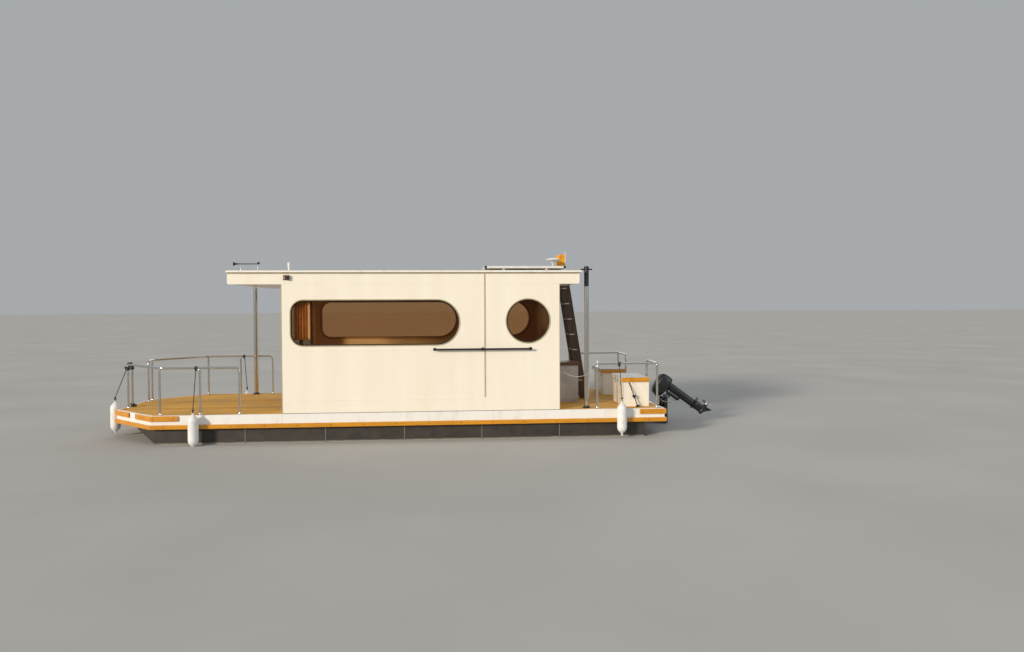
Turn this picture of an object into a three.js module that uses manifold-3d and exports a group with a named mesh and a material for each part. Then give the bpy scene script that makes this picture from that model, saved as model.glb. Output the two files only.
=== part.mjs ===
// Houseboat: a one-room cabin on a decked platform that lies on two closed floats.
// Millimetres. Inside the boat's own group x runs forward from the stern end of the deck,
// y to port and z up from the deck. The last lines move the boat so that the origin is on the
// centreline, halfway along its whole length, at the underside of the floats.
import * as THREE from "three";
import { mergeVertices } from "three/addons/utils/BufferGeometryUtils.js";
import Module from "manifold-3d";

const wasm = await Module();
wasm.setup();

// Driving dimensions
const gap = 0.3;
const deck = {
  length: 8763, halfWidth: 1500, chamfer: 819, height: 825, board: 27, rim: 40, band: 143,
};
const originFromStern = 3829;
const float = {
  inner: 640, outer: 1440, stern: 300, flatEnd: 6950, waterline: 7850, nose: 8300, bilge: 80,
};
const cabin = {
  rear: 1687, front: 5991, halfWidth: 1490, wall: 60, height: 1990, panelSeam: 2866,
};
const roof = {
  rear: 1370, front: 6790, top: 2169, capTop: 2200, capRear: 1335, capFront: 6803,
  capHalfWidth: 1520, corner: 25,
};
const longWindow = { rear: 3263, front: 5852, sill: 1040, head: 1744, frontRadius: 190 };
const porthole = { x: 2188, z: 1407, radius: 344 };
const glass = { thickness: 8, inset: 14 };
const rail = { height: 715, radius: 17, bend: 75, inset: 80 };
const spud = {
  radius: 38, top: 2271, foot: -740, offset: 1330, wall: 4, clearance: 0.6, pin: 2223,
  handle: 95,
};
const spudPlaces = { port: [1230, 1], starboard: [7041, -1] };
const rubRail = { proud: 30, low: -208 };
const plank = { proud: 25, low: -85, high: -5, bowReach: 320 };
const fender = { radius: 77, length: 560 };
const locker = { rear: 190, front: 605, near: 430, far: 1250, height: 403, wall: 18, lid: 67 };
const ladder = { y: -180, width: 480, foot: 1050, head: 1414, plank: 140, thickness: 28 };
const tread = { first: 335, pitch: 270, depth: 120, thickness: 28 };
const notch = { front: 1535, from: -480, to: 120 };
const bench = { rear: 3150, front: 5600, edge: -830, seat: 380, cushion: 100, back: 860 };
const table = { x: 4350, y: -340, length: 900, width: 560, height: 735, top: 35, leg: 100 };
const galley = { front: 4700, edge: 870, height: 860, top: 30, overhang: 15 };
const curtain = { rear: 5570, front: 5830, low: 1130 };
const cabinet = { rear: 1238, from: 150, to: 575, height: 635, top: 45, overhang: 18 };
const solarPanel = { rear: 1562, front: 2861, from: 480, to: 1350, low: 2239, high: 2276 };
const solarFeet = { x: [1872, 2557], y: [530, 1300], width: 40 };
const antenna = { x: 1632, y: 330, stem: 196, height: 268 };
const horn = { rear: 6360, front: 6758, y: 1300, z: 2318, tube: 7, bell: 30, ball: 20 };
const flag = { x: 1393, y: 160, length: 150, low: 2335, high: 2568, pole: 6, cloth: 8 };
const gateRope = { radius: 5, from: 1077, y: 1420, end: 652, sag: 140 };
const motor = { x: -450, z: 20, tilt: 53.7 };
const bracket = { halfWidth: 200, cheek: 40, low: -440, plate: 45 };

// Colours, roughness and metalness of the finishes
const finishes = {
  floatPlastic: [0x3b3936, 0.55, 0],
  whitePaint: [0xe9e5da, 0.45, 0],
  creamPanel: [0xece6d6, 0.5, 0],
  deckBoard: [0xa98a55, 0.75, 0],
  varnishedWood: [0xa8641c, 0.35, 0],
  darkWood: [0x3f2c1e, 0.6, 0],
  plywood: [0xb98a54, 0.6, 0],
  glassPane: [0x4a3c30, 0.08, 0],
  stainless: [0xc9c9c6, 0.25, 1],
  blackPlastic: [0x17181a, 0.5, 0],
  blackPaint: [0x131416, 0.35, 0],
  greyPanel: [0x9a978f, 0.5, 0],
  fenderVinyl: [0xe8e8e4, 0.4, 0],
  upholstery: [0x8f8778, 0.9, 0],
  curtainCloth: [0x5d4433, 0.95, 0],
  flagCloth: [0xd9731e, 0.9, 0],
  rope: [0xb9b4a6, 0.9, 0],
};

// Geometry helpers
function solid(geometry) {
  const bare = geometry.clone();
  bare.deleteAttribute("normal");
  bare.deleteAttribute("uv");
  const merged = mergeVertices(bare, 1e-3);
  return new wasm.Manifold(
    new wasm.Mesh({
      numProp: 3,
      vertProperties: merged.attributes.position.array,
      triVerts: new Uint32Array(merged.index.array),
    }),
  );
}

const join = (first, ...others) => others.reduce((whole, piece) => whole.add(piece), first);
const cut = (first, ...others) => others.reduce((whole, piece) => whole.subtract(piece), first);

const about = (middle, size) => [middle - size / 2, middle + size / 2];

function box([x0, x1], [y0, y1], [z0, z1]) {
  const geometry = new THREE.BoxGeometry(x1 - x0, y1 - y0, z1 - z0);
  return solid(geometry.translate((x0 + x1) / 2, (y0 + y1) / 2, (z0 + z1) / 2));
}

function outline(points) {
  return new THREE.Shape(points.map(([a, b]) => new THREE.Vector2(a, b)));
}

function extrude(shape, depth, curveSegments = 6) {
  return new THREE.ExtrudeGeometry(shape, { depth, bevelEnabled: false, curveSegments });
}

// An outline in x and y, standing from z0 to z1
const upright = (shape, z0, z1) => solid(extrude(shape, z1 - z0).translate(0, 0, z0));

// An outline in x and z, running across from y0 to y1
function across(shape, y0, y1, segments) {
  const geometry = extrude(shape, y1 - y0, segments);
  return solid(geometry.rotateX(Math.PI / 2).translate(0, y1, 0));
}

// An outline in y and z, running forward from x0 to x1
function lengthwise(shape, x0, x1) {
  const turn = new THREE.Matrix4().makeBasis(
    new THREE.Vector3(0, 1, 0),
    new THREE.Vector3(0, 0, 1),
    new THREE.Vector3(1, 0, 0),
  );
  return solid(extrude(shape, x1 - x0).applyMatrix4(turn).translate(x0, 0, 0));
}

function rod(from, to, radius, sides = 12) {
  const [a, b] = [new THREE.Vector3(...from), new THREE.Vector3(...to)];
  const along = b.clone().sub(a);
  const geometry = new THREE.CylinderGeometry(radius, radius, along.length(), sides);
  const turn = new THREE.Quaternion().setFromUnitVectors(
    new THREE.Vector3(0, 1, 0),
    along.clone().normalize(),
  );
  geometry.applyQuaternion(turn);
  const middle = a.add(b).multiplyScalar(0.5);
  return solid(geometry.translate(middle.x, middle.y, middle.z));
}

// A route of straight runs whose inner corners are rounded by short arcs
class Route extends THREE.Curve {
  constructor(corners, bend) {
    super();
    const points = corners.map((c) => new THREE.Vector3(...c));
    this.points = [points[0]];
    for (let i = 1; i < points.length - 1; i++) {
      const before = points[i - 1].clone().sub(points[i]);
      const after = points[i + 1].clone().sub(points[i]);
      const reach = Math.min(bend, before.length() * 0.45, after.length() * 0.45);
      const start = points[i].clone().addScaledVector(before.normalize(), reach);
      const end = points[i].clone().addScaledVector(after.normalize(), reach);
      const arc = new THREE.QuadraticBezierCurve3(start, points[i], end);
      this.points.push(...arc.getPoints(4));
    }
    this.points.push(points[points.length - 1]);
  }
  getPoint(t) {
    const place = t * (this.points.length - 1);
    const before = Math.min(Math.floor(place), this.points.length - 2);
    return this.points[before].clone().lerp(this.points[before + 1], place - before);
  }
  getPointAt(u) {
    return this.getPoint(u);
  }
  getTangentAt(u) {
    const last = this.points.length - 1;
    const i = Math.round(u * last);
    const [before, after] = [Math.max(i - 1, 0), Math.min(i + 1, last)];
    const here = this.points[i];
    const tangent = new THREE.Vector3();
    if (i > 0) tangent.add(here.clone().sub(this.points[before]).normalize());
    if (i < last) tangent.add(this.points[after].clone().sub(here).normalize());
    return tangent.normalize();
  }
}

function tube(corners, radius, bend, sides = 6) {
  const route = new Route(corners, bend);
  const section = new THREE.Shape();
  section.absarc(0, 0, radius, 0, 2 * Math.PI);
  const geometry = new THREE.ExtrudeGeometry(section, {
    steps: route.points.length - 1,
    extrudePath: route,
    curveSegments: sides,
    bevelEnabled: false,
  });
  return solid(geometry);
}

// A turned body from a list of [radius, height], on the z axis
function turned(profile, sides) {
  const points = profile.map(([r, h]) => new THREE.Vector2(r, h));
  return solid(new THREE.LatheGeometry(points, sides).rotateX(Math.PI / 2));
}

const boat = new THREE.Group();

function add(name, shape, finish, parent = boat) {
  const mesh = shape.getMesh();
  const geometry = new THREE.BufferGeometry();
  geometry.setAttribute("position", new THREE.BufferAttribute(mesh.vertProperties, 3));
  geometry.setIndex(new THREE.BufferAttribute(mesh.triVerts, 1));
  const faceted = geometry.toNonIndexed();
  faceted.computeVertexNormals();
  const [color, roughness, metalness] = finishes[finish];
  const material = new THREE.MeshStandardMaterial({ color, roughness, metalness });
  if (finish === "glassPane") Object.assign(material, { transparent: true, opacity: 0.35 });
  const piece = new THREE.Mesh(faceted, material);
  piece.name = name;
  parent.add(piece);
}

const sides = { port: 1, starboard: -1 };

// A span of y on one side of the boat, low end first
const span = (side, near, far) => (side > 0 ? [near, far] : [-far, -near]);

// The deck's outline, drawn in by `inset`
function deckOutline(inset) {
  const { length, halfWidth, chamfer } = deck;
  const slack = inset * (Math.SQRT2 - 1);
  const [side, shoulder] = [halfWidth - inset, length - chamfer - slack];
  const [tip, cheek] = [length - inset, halfWidth - chamfer - slack];
  return [
    [inset, -side], [shoulder, -side], [tip, -cheek], [tip, cheek], [shoulder, side],
    [inset, side],
  ];
}

function deckRing(outerInset, innerInset, z0, z1) {
  const ring = outline(deckOutline(outerInset));
  ring.holes.push(outline(deckOutline(innerInset)));
  return upright(ring, z0, z1);
}

// Floats
const platformUnderside = -deck.band;
const spudHole = (side, radius, z0, z1) => {
  const [x, sign] = spudPlaces[side];
  return rod([x, sign * spud.offset, z0], [x, sign * spud.offset, z1], radius, 16);
};

for (const [side, sign] of Object.entries(sides)) {
  const bottom = -deck.height;
  const top = platformUnderside - gap;
  const profile = outline([
    [float.stern + 40, bottom], [float.flatEnd, bottom], [float.waterline, bottom + 370],
    [float.nose, bottom + 570], [float.nose, top], [float.stern, top],
  ]);
  const [low, high] = span(sign, float.inner, float.outer);
  const section = outline([
    [low + float.bilge, bottom], [high - float.bilge, bottom], [high, bottom + float.bilge],
    [high, top], [low, top], [low, bottom + float.bilge],
  ]);
  const body = across(profile, low, high)
    .intersect(lengthwise(section, 0, deck.length))
    .intersect(upright(outline(deckOutline(deck.halfWidth - float.outer)), bottom - 5, top + 5));
  add(`float_${side}`, cut(body, spudHole(side, spud.radius + 8, bottom - 5, top + 5)),
    "floatPlastic");
}

// Platform: a rim with beams inside it, and a guide for each spud pole
const beamTop = -deck.board - gap;
const beamPitch = 973;
const guideRadius = spud.radius + 22;
let platform = deckRing(0, deck.rim, platformUnderside, 0);
for (const y of [-600, 0, 600])
  platform = join(platform, box([20, deck.length - 20], [y - 25, y + 25],
    [platformUnderside + 10, beamTop - 10]));
for (let x = beamPitch; x < deck.length - deck.rim; x += beamPitch) {
  const reach = Math.min(deck.halfWidth - 20, deck.length + deck.halfWidth - deck.chamfer - x - 30);
  platform = join(platform, box([x - 30, x + 30], [-reach, reach], [platformUnderside, beamTop]));
}
for (const side of Object.keys(sides)) {
  const [x, sign] = spudPlaces[side];
  platform = join(platform,
    spudHole(side, guideRadius, platformUnderside + 5, -gap),
    box([x - 50, x + 50], span(sign, spud.offset, deck.halfWidth - 20),
      [platformUnderside + 10, beamTop - 10]));
  platform = cut(platform,
    spudHole(side, spud.radius + spud.clearance, platformUnderside - 5, 5));
}
add("platform", platform, "whitePaint");

// Boards inside the rim: the fore deck, the cabin floor and the aft deck in one
add("deck", cut(upright(outline(deckOutline(deck.rim + gap)), -deck.board, 0),
  ...Object.keys(sides).map((side) => spudHole(side, guideRadius + gap, -50, 5))), "deckBoard");

// Rub rail under the platform's edge, open at the stern for the motor bracket
add("rub_rail", cut(deckRing(-rubRail.proud, 59.7, rubRail.low, platformUnderside - gap),
  box([-60, 120], [-350, 350], [-300, 0])), "varnishedWood");

// Planks on the white band at bow and stern
const plankRing = deckRing(-plank.proud, -gap, plank.low, plank.high);
const beyond = 100;
const outerY = deck.halfWidth + beyond;
const plankSpans = {
  rub_plank_bow: [[deck.length - plank.bowReach, deck.length + beyond], [-outerY, outerY]],
  rub_plank_port: [[7535, 8288], [0, outerY]],
  rub_plank_starboard: [[7535, 8288], [-outerY, 0]],
  rub_plank_stern: [[-beyond, 407], [-outerY, outerY]],
};
for (const [name, [alongDeck, acrossDeck]] of Object.entries(plankSpans))
  add(name, plankRing.intersect(box(alongDeck, acrossDeck, [plank.low - 15, 50])),
    "varnishedWood");

// Windows
function longWindowShape(inset) {
  const { rear, front, sill, head, frontRadius } = longWindow;
  const [z0, z1] = [sill + inset, head - inset];
  const [x0, x1] = [rear + inset, front - inset];
  const round = (z1 - z0) / 2;
  const corner = frontRadius - inset;
  const shape = new THREE.Shape();
  shape.moveTo(x0 + round, z0);
  shape.lineTo(x1 - corner, z0);
  shape.absarc(x1 - corner, z0 + corner, corner, -Math.PI / 2, 0);
  shape.lineTo(x1, z1 - corner);
  shape.absarc(x1 - corner, z1 - corner, corner, 0, Math.PI / 2);
  shape.lineTo(x0 + round, z1);
  shape.absarc(x0 + round, z0 + round, round, Math.PI / 2, 1.5 * Math.PI);
  return shape;
}

function portholeShape(inset) {
  const shape = new THREE.Shape();
  shape.absarc(porthole.x, porthole.z, porthole.radius - inset, 0, 2 * Math.PI);
  return shape;
}

// Side walls, each of two panels, with a long window and a porthole
const innerFace = cabin.halfWidth - cabin.wall;
const wallTop = cabin.height - gap;
for (const [side, sign] of Object.entries(sides)) {
  const wallSpan = span(sign, innerFace, cabin.halfWidth);
  const paneSpan = span(sign, cabin.halfWidth - glass.inset - glass.thickness,
    cabin.halfWidth - glass.inset);
  const [through0, through1] = [wallSpan[0] - 10, wallSpan[1] + 10];
  const fore = box([cabin.panelSeam + gap, cabin.front], wallSpan, [gap, wallTop]);
  const aft = box([cabin.rear, cabin.panelSeam], wallSpan, [gap, wallTop]);
  add(`wall_${side}_fore`, cut(fore, across(longWindowShape(0), through0, through1)),
    "creamPanel");
  add(`wall_${side}_aft`, cut(aft, across(portholeShape(0), through0, through1, 20)),
    "creamPanel");
  add(`window_${side}`, across(longWindowShape(gap), ...paneSpan), "glassPane");
  add(`porthole_${side}`, across(portholeShape(gap), ...paneSpan, 20), "glassPane");
}

// Front wall with a sliding glass door: the starboard leaf slides to port behind a fixed pane
const between = [-innerFace + gap, innerFace - gap];
const frontDoor = { halfWidth: 1000, sill: 40, head: 1920, mullion: 30, frame: 60, slack: 6 };
const wallFrontX = [cabin.front - cabin.wall, cabin.front];
const frontOpening = box([wallFrontX[0] - 10, wallFrontX[1] + 10],
  [-frontDoor.halfWidth, frontDoor.halfWidth], [frontDoor.sill, frontDoor.head]);
const mullion = box([cabin.front - 21, cabin.front - 1],
  [-frontDoor.mullion, frontDoor.mullion], [frontDoor.sill - 5, frontDoor.head + 5]);
add("wall_front", join(cut(box(wallFrontX, between, [gap, wallTop]), frontOpening), mullion),
  "creamPanel");
add("front_door_fixed_pane", box([cabin.front - 19, cabin.front - 11],
  [frontDoor.mullion + gap, frontDoor.halfWidth - gap],
  [frontDoor.sill + gap, frontDoor.head - gap]), "glassPane");

const leafX = [cabin.front - 55, cabin.front - 27];
const leafY = [-frontDoor.halfWidth + frontDoor.slack, 26];
const leafZ = [frontDoor.sill + frontDoor.slack, frontDoor.head - frontDoor.slack];
const shrink = ([low, high], by) => [low + by, high - by];
let leaf = cut(box(leafX, leafY, leafZ),
  box(shrink(leafX, -5), shrink(leafY, frontDoor.frame), shrink(leafZ, frontDoor.frame)));
for (const y of [leafY[0] + 80, leafY[1] - 160])
  leaf = join(leaf, box(shrink(leafX, 8), [y, y + 80], [frontDoor.sill + gap, leafZ[0] + 5]));
add("front_door_frame", leaf, "blackPaint");
add("front_door_glass", box(shrink(leafX, 10), shrink(leafY, frontDoor.frame + gap),
  shrink(leafZ, frontDoor.frame + gap)), "glassPane");

// Rear wall with a hinged door on its starboard half
const rearDoor = { from: -1150, to: -450, sill: 30, head: 1930, thickness: 40, slack: 6 };
const rearHinge = { x: cabin.rear - 8, y: rearDoor.from, radius: 6, knuckle: 40 };
const wallRearX = [cabin.rear, cabin.rear + cabin.wall];
let wallRear = cut(box(wallRearX, between, [gap, wallTop]),
  box(shrink(wallRearX, -10), [rearDoor.from, rearDoor.to], [rearDoor.sill, rearDoor.head]));
let doorLeaf = box([cabin.rear + 2, cabin.rear + 2 + rearDoor.thickness],
  shrink([rearDoor.from, rearDoor.to], rearDoor.slack),
  shrink([rearDoor.sill, rearDoor.head], rearDoor.slack));
for (const z of [250, 980, 1700]) {
  const { x, y, radius, knuckle } = rearHinge;
  doorLeaf = join(doorLeaf, rod([x, y, z], [x, y, z + knuckle], radius),
    box([x - 4, cabin.rear + 6], [y, y + 34], [z, z + knuckle]));
  for (const low of [z - knuckle - gap, z + knuckle + gap])
    wallRear = join(wallRear, rod([x, y, low], [x, y, low + knuckle], radius),
      box([x - 4, cabin.rear + 4], [y - 30, y], [low, low + knuckle]));
}
add("wall_rear", wallRear, "creamPanel");
add("rear_door", doorLeaf, "creamPanel");

// Partition between the room and the washroom, with a doorway, and the galley built onto it
const partitionX = [2836, 2896];
const galleyY = [galley.edge, innerFace - gap];
const doorway = box(shrink(partitionX, -10), [-900, -280], [-5, 1900]);
add("partition_and_galley", join(
  cut(box(partitionX, between, [gap, wallTop]), doorway),
  box([partitionX[1] - 5, galley.front], galleyY, [gap, galley.height]),
  box([partitionX[1] - 5, galley.front + galley.overhang],
    [galley.edge - galley.overhang, galleyY[1]],
    [galley.height - 5, galley.height + galley.top])), "plywood");

// Roof with rounded lower ends, and the cap sheet on it, both cut out round the ladder
function roofSide() {
  const { rear, front, top, corner } = roof;
  const low = cabin.height;
  const shape = new THREE.Shape();
  shape.moveTo(rear + corner, low);
  shape.lineTo(front - corner, low);
  shape.absarc(front - corner, low + corner, corner, -Math.PI / 2, 0);
  shape.lineTo(front, top);
  shape.lineTo(rear, top);
  shape.lineTo(rear, low + corner);
  shape.absarc(rear + corner, low + corner, corner, Math.PI, 1.5 * Math.PI);
  return shape;
}
const ladderNotch = box([roof.capRear - 50, notch.front], [notch.from, notch.to], [1900, 2300]);
add("roof", cut(across(roofSide(), -cabin.halfWidth, cabin.halfWidth, 4), ladderNotch),
  "creamPanel");
add("roof_cap", cut(box([roof.capRear, roof.capFront], [-roof.capHalfWidth, roof.capHalfWidth],
  [roof.top + gap, roof.capTop]), ladderNotch), "whitePaint");

// Handrails on the side walls
const handrail = { rear: 2127, front: 3677, z: 971, standoff: 62, radius: 15 };
for (const [side, sign] of Object.entries(sides)) {
  const wallFace = sign * (cabin.halfWidth + gap);
  const bar = sign * (cabin.halfWidth + handrail.standoff);
  const { rear, front, z, radius } = handrail;
  let shape = rod([rear, bar, z], [front, bar, z], radius);
  for (const x of [rear + 25, (rear + front) / 2, front - 25])
    shape = join(shape, rod([x, wallFace, z], [x, bar, z], 11),
      rod([x, wallFace, z], [x, wallFace + sign * 8, z], 26));
  add(`handrail_${side}`, shape, "blackPlastic");
}

// Deck railings: one bent tube each, with posts under it
const railY = deck.halfWidth - rail.inset;
const railBow = deck.length - 120;
function railing(route, posts, sign) {
  const at = ([x, y]) => [x, y * sign];
  const first = at(route[0]);
  const last = at(route[route.length - 1]);
  const corners = [
    [...first, gap], ...route.map((p) => [...at(p), rail.height]), [...last, gap],
  ];
  let shape = tube(corners, rail.radius, rail.bend);
  for (const post of posts)
    shape = join(shape, rod([...at(post), gap], [...at(post), rail.height], rail.radius));
  for (const post of [route[0], route[route.length - 1], ...posts])
    shape = join(shape, rod([...at(post), gap], [...at(post), 8], 36));
  return shape;
}
const foreRails = { port: [6640, 7230, 7830], starboard: [6756, 7350, 7943] };
for (const [side, sign] of Object.entries(sides)) {
  const [end, middle, shoulder] = foreRails[side];
  add(`rail_fore_${side}`, railing(
    [[railBow, 350], [railBow, 520], [shoulder, railY], [end, railY]],
    [[railBow, 520], [shoulder, railY], [middle, railY]], sign), "stainless");
  add(`rail_aft_${side}`, railing([[1077, railY], [100, railY], [100, 770]],
    [[100, railY]], sign), "stainless");
}

// Spud poles: tubes with a cap and a cross handle, standing in the platform's guides
for (const side of Object.keys(sides)) {
  const [x, sign] = spudPlaces[side];
  const y = sign * spud.offset;
  const pole = cut(rod([x, y, spud.foot], [x, y, spud.top], spud.radius, 16),
    rod([x, y, spud.foot - 5], [x, y, spud.top - 6], spud.radius - spud.wall, 16));
  const handle = rod([x - spud.handle, y, spud.pin], [x + spud.handle, y, spud.pin], 11);
  add(`spud_pole_${side}`, join(pole, handle), "stainless");
}

// Ladder to the roof: two planks with treads let in between them, level at every step
const ladderLean = Math.atan2(ladder.head - ladder.foot, roof.capTop);
function ladderPlank(y) {
  const { foot, head, plank, thickness } = ladder;
  const half = plank / 2 / Math.cos(ladderLean);
  const shape = outline([
    [foot - half, gap], [foot + half, gap], [head + half, roof.capTop + 60],
    [head - half, roof.capTop + 60],
  ]);
  return across(shape, y - thickness / 2, y + thickness / 2);
}
let ladderShape = join(ladderPlank(ladder.y - ladder.width / 2),
  ladderPlank(ladder.y + ladder.width / 2));
for (let z = tread.first; z < roof.capTop; z += tread.pitch) {
  const x = ladder.foot + (ladder.head - ladder.foot) * z / roof.capTop;
  ladderShape = join(ladderShape, box(about(x, tread.depth), about(ladder.y, ladder.width),
    [z - tread.thickness, z]));
}
add("ladder", ladderShape, "darkWood");

// Cabinet against the rear wall
const cabinetLid = cabinet.overhang;
add("cabinet", join(
  box([cabinet.rear, cabin.rear - gap], [cabinet.from, cabinet.to], [gap, cabinet.height]),
  box([cabinet.rear - cabinetLid, cabin.rear - gap],
    [cabinet.from - 10, cabinet.to + cabinetLid],
    [cabinet.height - 5, cabinet.height + cabinet.top])), "greyPanel");

// Stern lockers with lids hinged on their back faces, at half the lid's height
for (const [side, sign] of Object.entries(sides)) {
  const { rear, front, near, far, height, wall, lid } = locker;
  const y = span(sign, near, far);
  const hinge = { x: rear - 14, z: height + lid / 2, radius: 6, half: 20, ear: 25 };
  let body = cut(box([rear, front], y, [gap, height]),
    box([rear + wall, front - wall], shrink(y, wall), [wall, height + 10]));
  let cover = box([rear - 4, front + 38], shrink(y, -25), [height + gap, height + lid]);
  for (const part of [0.2, 0.8]) {
    const middle = y[0] + part * (y[1] - y[0]);
    const pin = (a, b) => rod([hinge.x, a, hinge.z], [hinge.x, b, hinge.z], hinge.radius);
    const knuckle = [middle - hinge.half, middle + hinge.half];
    cover = join(cover, pin(...knuckle),
      box([hinge.x, rear], knuckle, [hinge.z - 3, hinge.z + 3]));
    for (const start of [knuckle[0] - gap - hinge.ear, knuckle[1] + gap]) {
      const ear = [start, start + hinge.ear];
      body = join(body, pin(...ear),
        box([hinge.x - 5, hinge.x + 5], ear, [height - 30, hinge.z]),
        box([hinge.x - 5, rear + 5], ear, [height - 30, height - 4]));
    }
  }
  add(`locker_${side}`, body, "creamPanel");
  add(`locker_lid_${side}`, cover, "varnishedWood");
}

// Furniture that shows through the windows
const benchFace = -innerFace + gap;
const benchX = [bench.rear, bench.front];
const seatTop = bench.seat + bench.cushion;
add("bench", box(benchX, [benchFace, bench.edge], [gap, bench.seat]), "plywood");
add("bench_cushion", box(shrink(benchX, 10), [benchFace + 10, bench.edge - 10],
  [bench.seat + gap, seatTop]), "upholstery");
add("back_cushion", box(shrink(benchX, 10), [benchFace + 5, benchFace + 100],
  [seatTop + gap, bench.back]), "upholstery");
add("table", join(
  box(about(table.x, table.length), about(table.y, table.width),
    [table.height - table.top, table.height]),
  box(about(table.x, table.leg), about(table.y, table.leg), [gap, table.height - table.top + 5]),
  box(about(table.x, 4 * table.leg), about(table.y, 4 * table.leg), [gap, 20])), "plywood");
add("curtain_port", box([curtain.rear, curtain.front], [innerFace - 90, innerFace - 20],
  [curtain.low, wallTop]), "curtainCloth");

// On the roof: solar panel on four feet, television antenna, flag
const onRoof = roof.capTop + gap;
let panel = box([solarPanel.rear, solarPanel.front], [solarPanel.from, solarPanel.to],
  [solarPanel.low, solarPanel.high]);
for (const x of solarFeet.x)
  for (const y of solarFeet.y)
    panel = join(panel, box(about(x, solarFeet.width), about(y, solarFeet.width),
      [onRoof, solarPanel.low + 5]));
add("solar_panel", panel, "blackPaint");
const dish = [
  [0, 0], [45, 0], [45, 8], [12, 14], [12, antenna.stem], [110, antenna.stem + 8],
  [130, antenna.stem + 26], [122, antenna.stem + 50], [80, antenna.height - 6],
  [0, antenna.height],
];
add("tv_antenna", turned(dish, 16).translate([antenna.x, antenna.y, onRoof]), "fenderVinyl");
add("flag", join(
  rod([flag.x, flag.y, onRoof], [flag.x, flag.y, flag.high + 12], flag.pole, 8),
  box([flag.x, flag.x + flag.length], about(flag.y, flag.cloth), [flag.low, flag.high])),
  "flagCloth");

// Signal horn on two stands at the roof's port fore corner, with its mouth forward
const hornLength = horn.front - horn.rear;
const hornProfile = [
  [0, 0], [horn.tube, 0], [horn.tube, hornLength - 108], [10, hornLength - 68],
  [18, hornLength - 28], [horn.bell, hornLength], [0, hornLength],
];
let hornShape = turned(hornProfile, 12).rotate([0, 90, 0]).translate([horn.rear, horn.y, horn.z]);
hornShape = join(hornShape, solid(new THREE.SphereGeometry(horn.ball, 12, 8)
  .translate(horn.rear, horn.y, horn.z + 12)));
for (const x of [horn.rear + 12, horn.rear + 270])
  hornShape = join(hornShape, rod([x, horn.y, onRoof], [x, horn.y, horn.z], 6, 8),
    rod([x, horn.y, onRoof], [x, horn.y, onRoof + 6], 18));
add("horn", hornShape, "blackPlastic");

// Guard rope across the side gate, from the railing's end post to the cabin's rear wall
const ropeNose = gateRope.radius * Math.SQRT1_2 + gap;
const ropeStart = gateRope.from + rail.radius + ropeNose;
const ropeEnd = cabin.rear - ropeNose;
const ropeLine = new THREE.QuadraticBezierCurve3(
  new THREE.Vector3(ropeStart, gateRope.y, gateRope.end),
  new THREE.Vector3((ropeStart + ropeEnd) / 2, gateRope.y, gateRope.end - 2 * gateRope.sag),
  new THREE.Vector3(ropeEnd, gateRope.y, gateRope.end));
add("gate_rope", tube(ropeLine.getSpacedPoints(26).map((p) => p.toArray()), gateRope.radius, 1, 4),
  "rope");

// Fenders hang beside the rub rail
function fenderShape([x, y, top]) {
  const { radius, length } = fender;
  const profile = [
    [0, 0], [18, 0], [22, 28], [40, 40], [66, 66], [radius, 105], [radius, length - 105],
    [66, length - 66], [40, length - 40], [22, length - 28], [18, length], [0, length],
  ];
  return turned(profile, 16).translate([x, y, top - length]);
}
const fenderReach = rubRail.proud + fender.radius + gap;
const fenderY = deck.halfWidth + fenderReach;
const fenderPlaces = {
  fender_port_aft: [716, fenderY, 145],
  fender_port_fore: [7283, fenderY, 60],
  fender_bow: [deck.length + fenderReach, 473, 135],
  fender_starboard_aft: [716, -fenderY, 145],
  fender_starboard_fore: [7283, -fenderY, 60],
};
for (const [name, place] of Object.entries(fenderPlaces))
  add(name, fenderShape(place), "fenderVinyl");

// Motor bracket between the floats, with the clamp and the tilt bearings on its plate
const bearing = { radius: 28, bore: 13, near: 62, far: 92 };
const bracketTop = platformUnderside - gap;
const plateX = [motor.x + 25, motor.x + 25 + bracket.plate];
const bracketY = [-bracket.halfWidth, bracket.halfWidth];
const bracketSide = outline([
  [plateX[0], -60], [plateX[1], -60], [plateX[1], bracketTop], [-30, bracketTop - 70],
  [10, bracketTop], [420, bracketTop], [420, -200], [0, -330], [plateX[0], bracket.low],
]);
let bracketShape = join(
  box(plateX, bracketY, [bracket.low, -20]),
  box([330, 420], bracketY, [-200, bracketTop]));
for (const sign of [1, -1]) {
  const clampY = span(sign, bearing.near, bearing.far);
  const cheekY = span(sign, bracket.halfWidth - bracket.cheek, bracket.halfWidth);
  bracketShape = join(bracketShape, across(bracketSide, ...cheekY),
    box([motor.x - 10, motor.x + 90], clampY, [-25, 12]),
    rod([motor.x, clampY[0], motor.z], [motor.x, clampY[1], motor.z], bearing.radius, 16),
    box([motor.x + 68, motor.x + 90], clampY, [-150, 0]));
}
add("motor_bracket", cut(bracketShape,
  rod([motor.x, -100, motor.z], [motor.x, 100, motor.z], bearing.bore, 16)), "blackPaint");

// Outboard motor, drawn upright round its tilt axis and then tilted up out of the water
const outboard = new THREE.Group();
outboard.position.set(motor.x, 0, motor.z);
outboard.rotation.y = THREE.MathUtils.degToRad(motor.tilt);
boat.add(outboard);
const steer = { x: -72, low: -210, high: -20, radius: 17 };
const swivel = cut(join(
  rod([0, -60, 0], [0, 60, 0], 22, 16),
  box([steer.x, 0], [-30, 30], [-60, 22]),
  rod([steer.x, 0, steer.low], [steer.x, 0, steer.high + 15], 30, 16),
  rod([0, -90, 0], [0, 90, 0], 12.4, 16)),
  rod([steer.x, 0, steer.low - 5], [steer.x, 0, 60], steer.radius + 0.6, 16));
add("outboard_swivel", swivel, "blackPaint", outboard);

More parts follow.
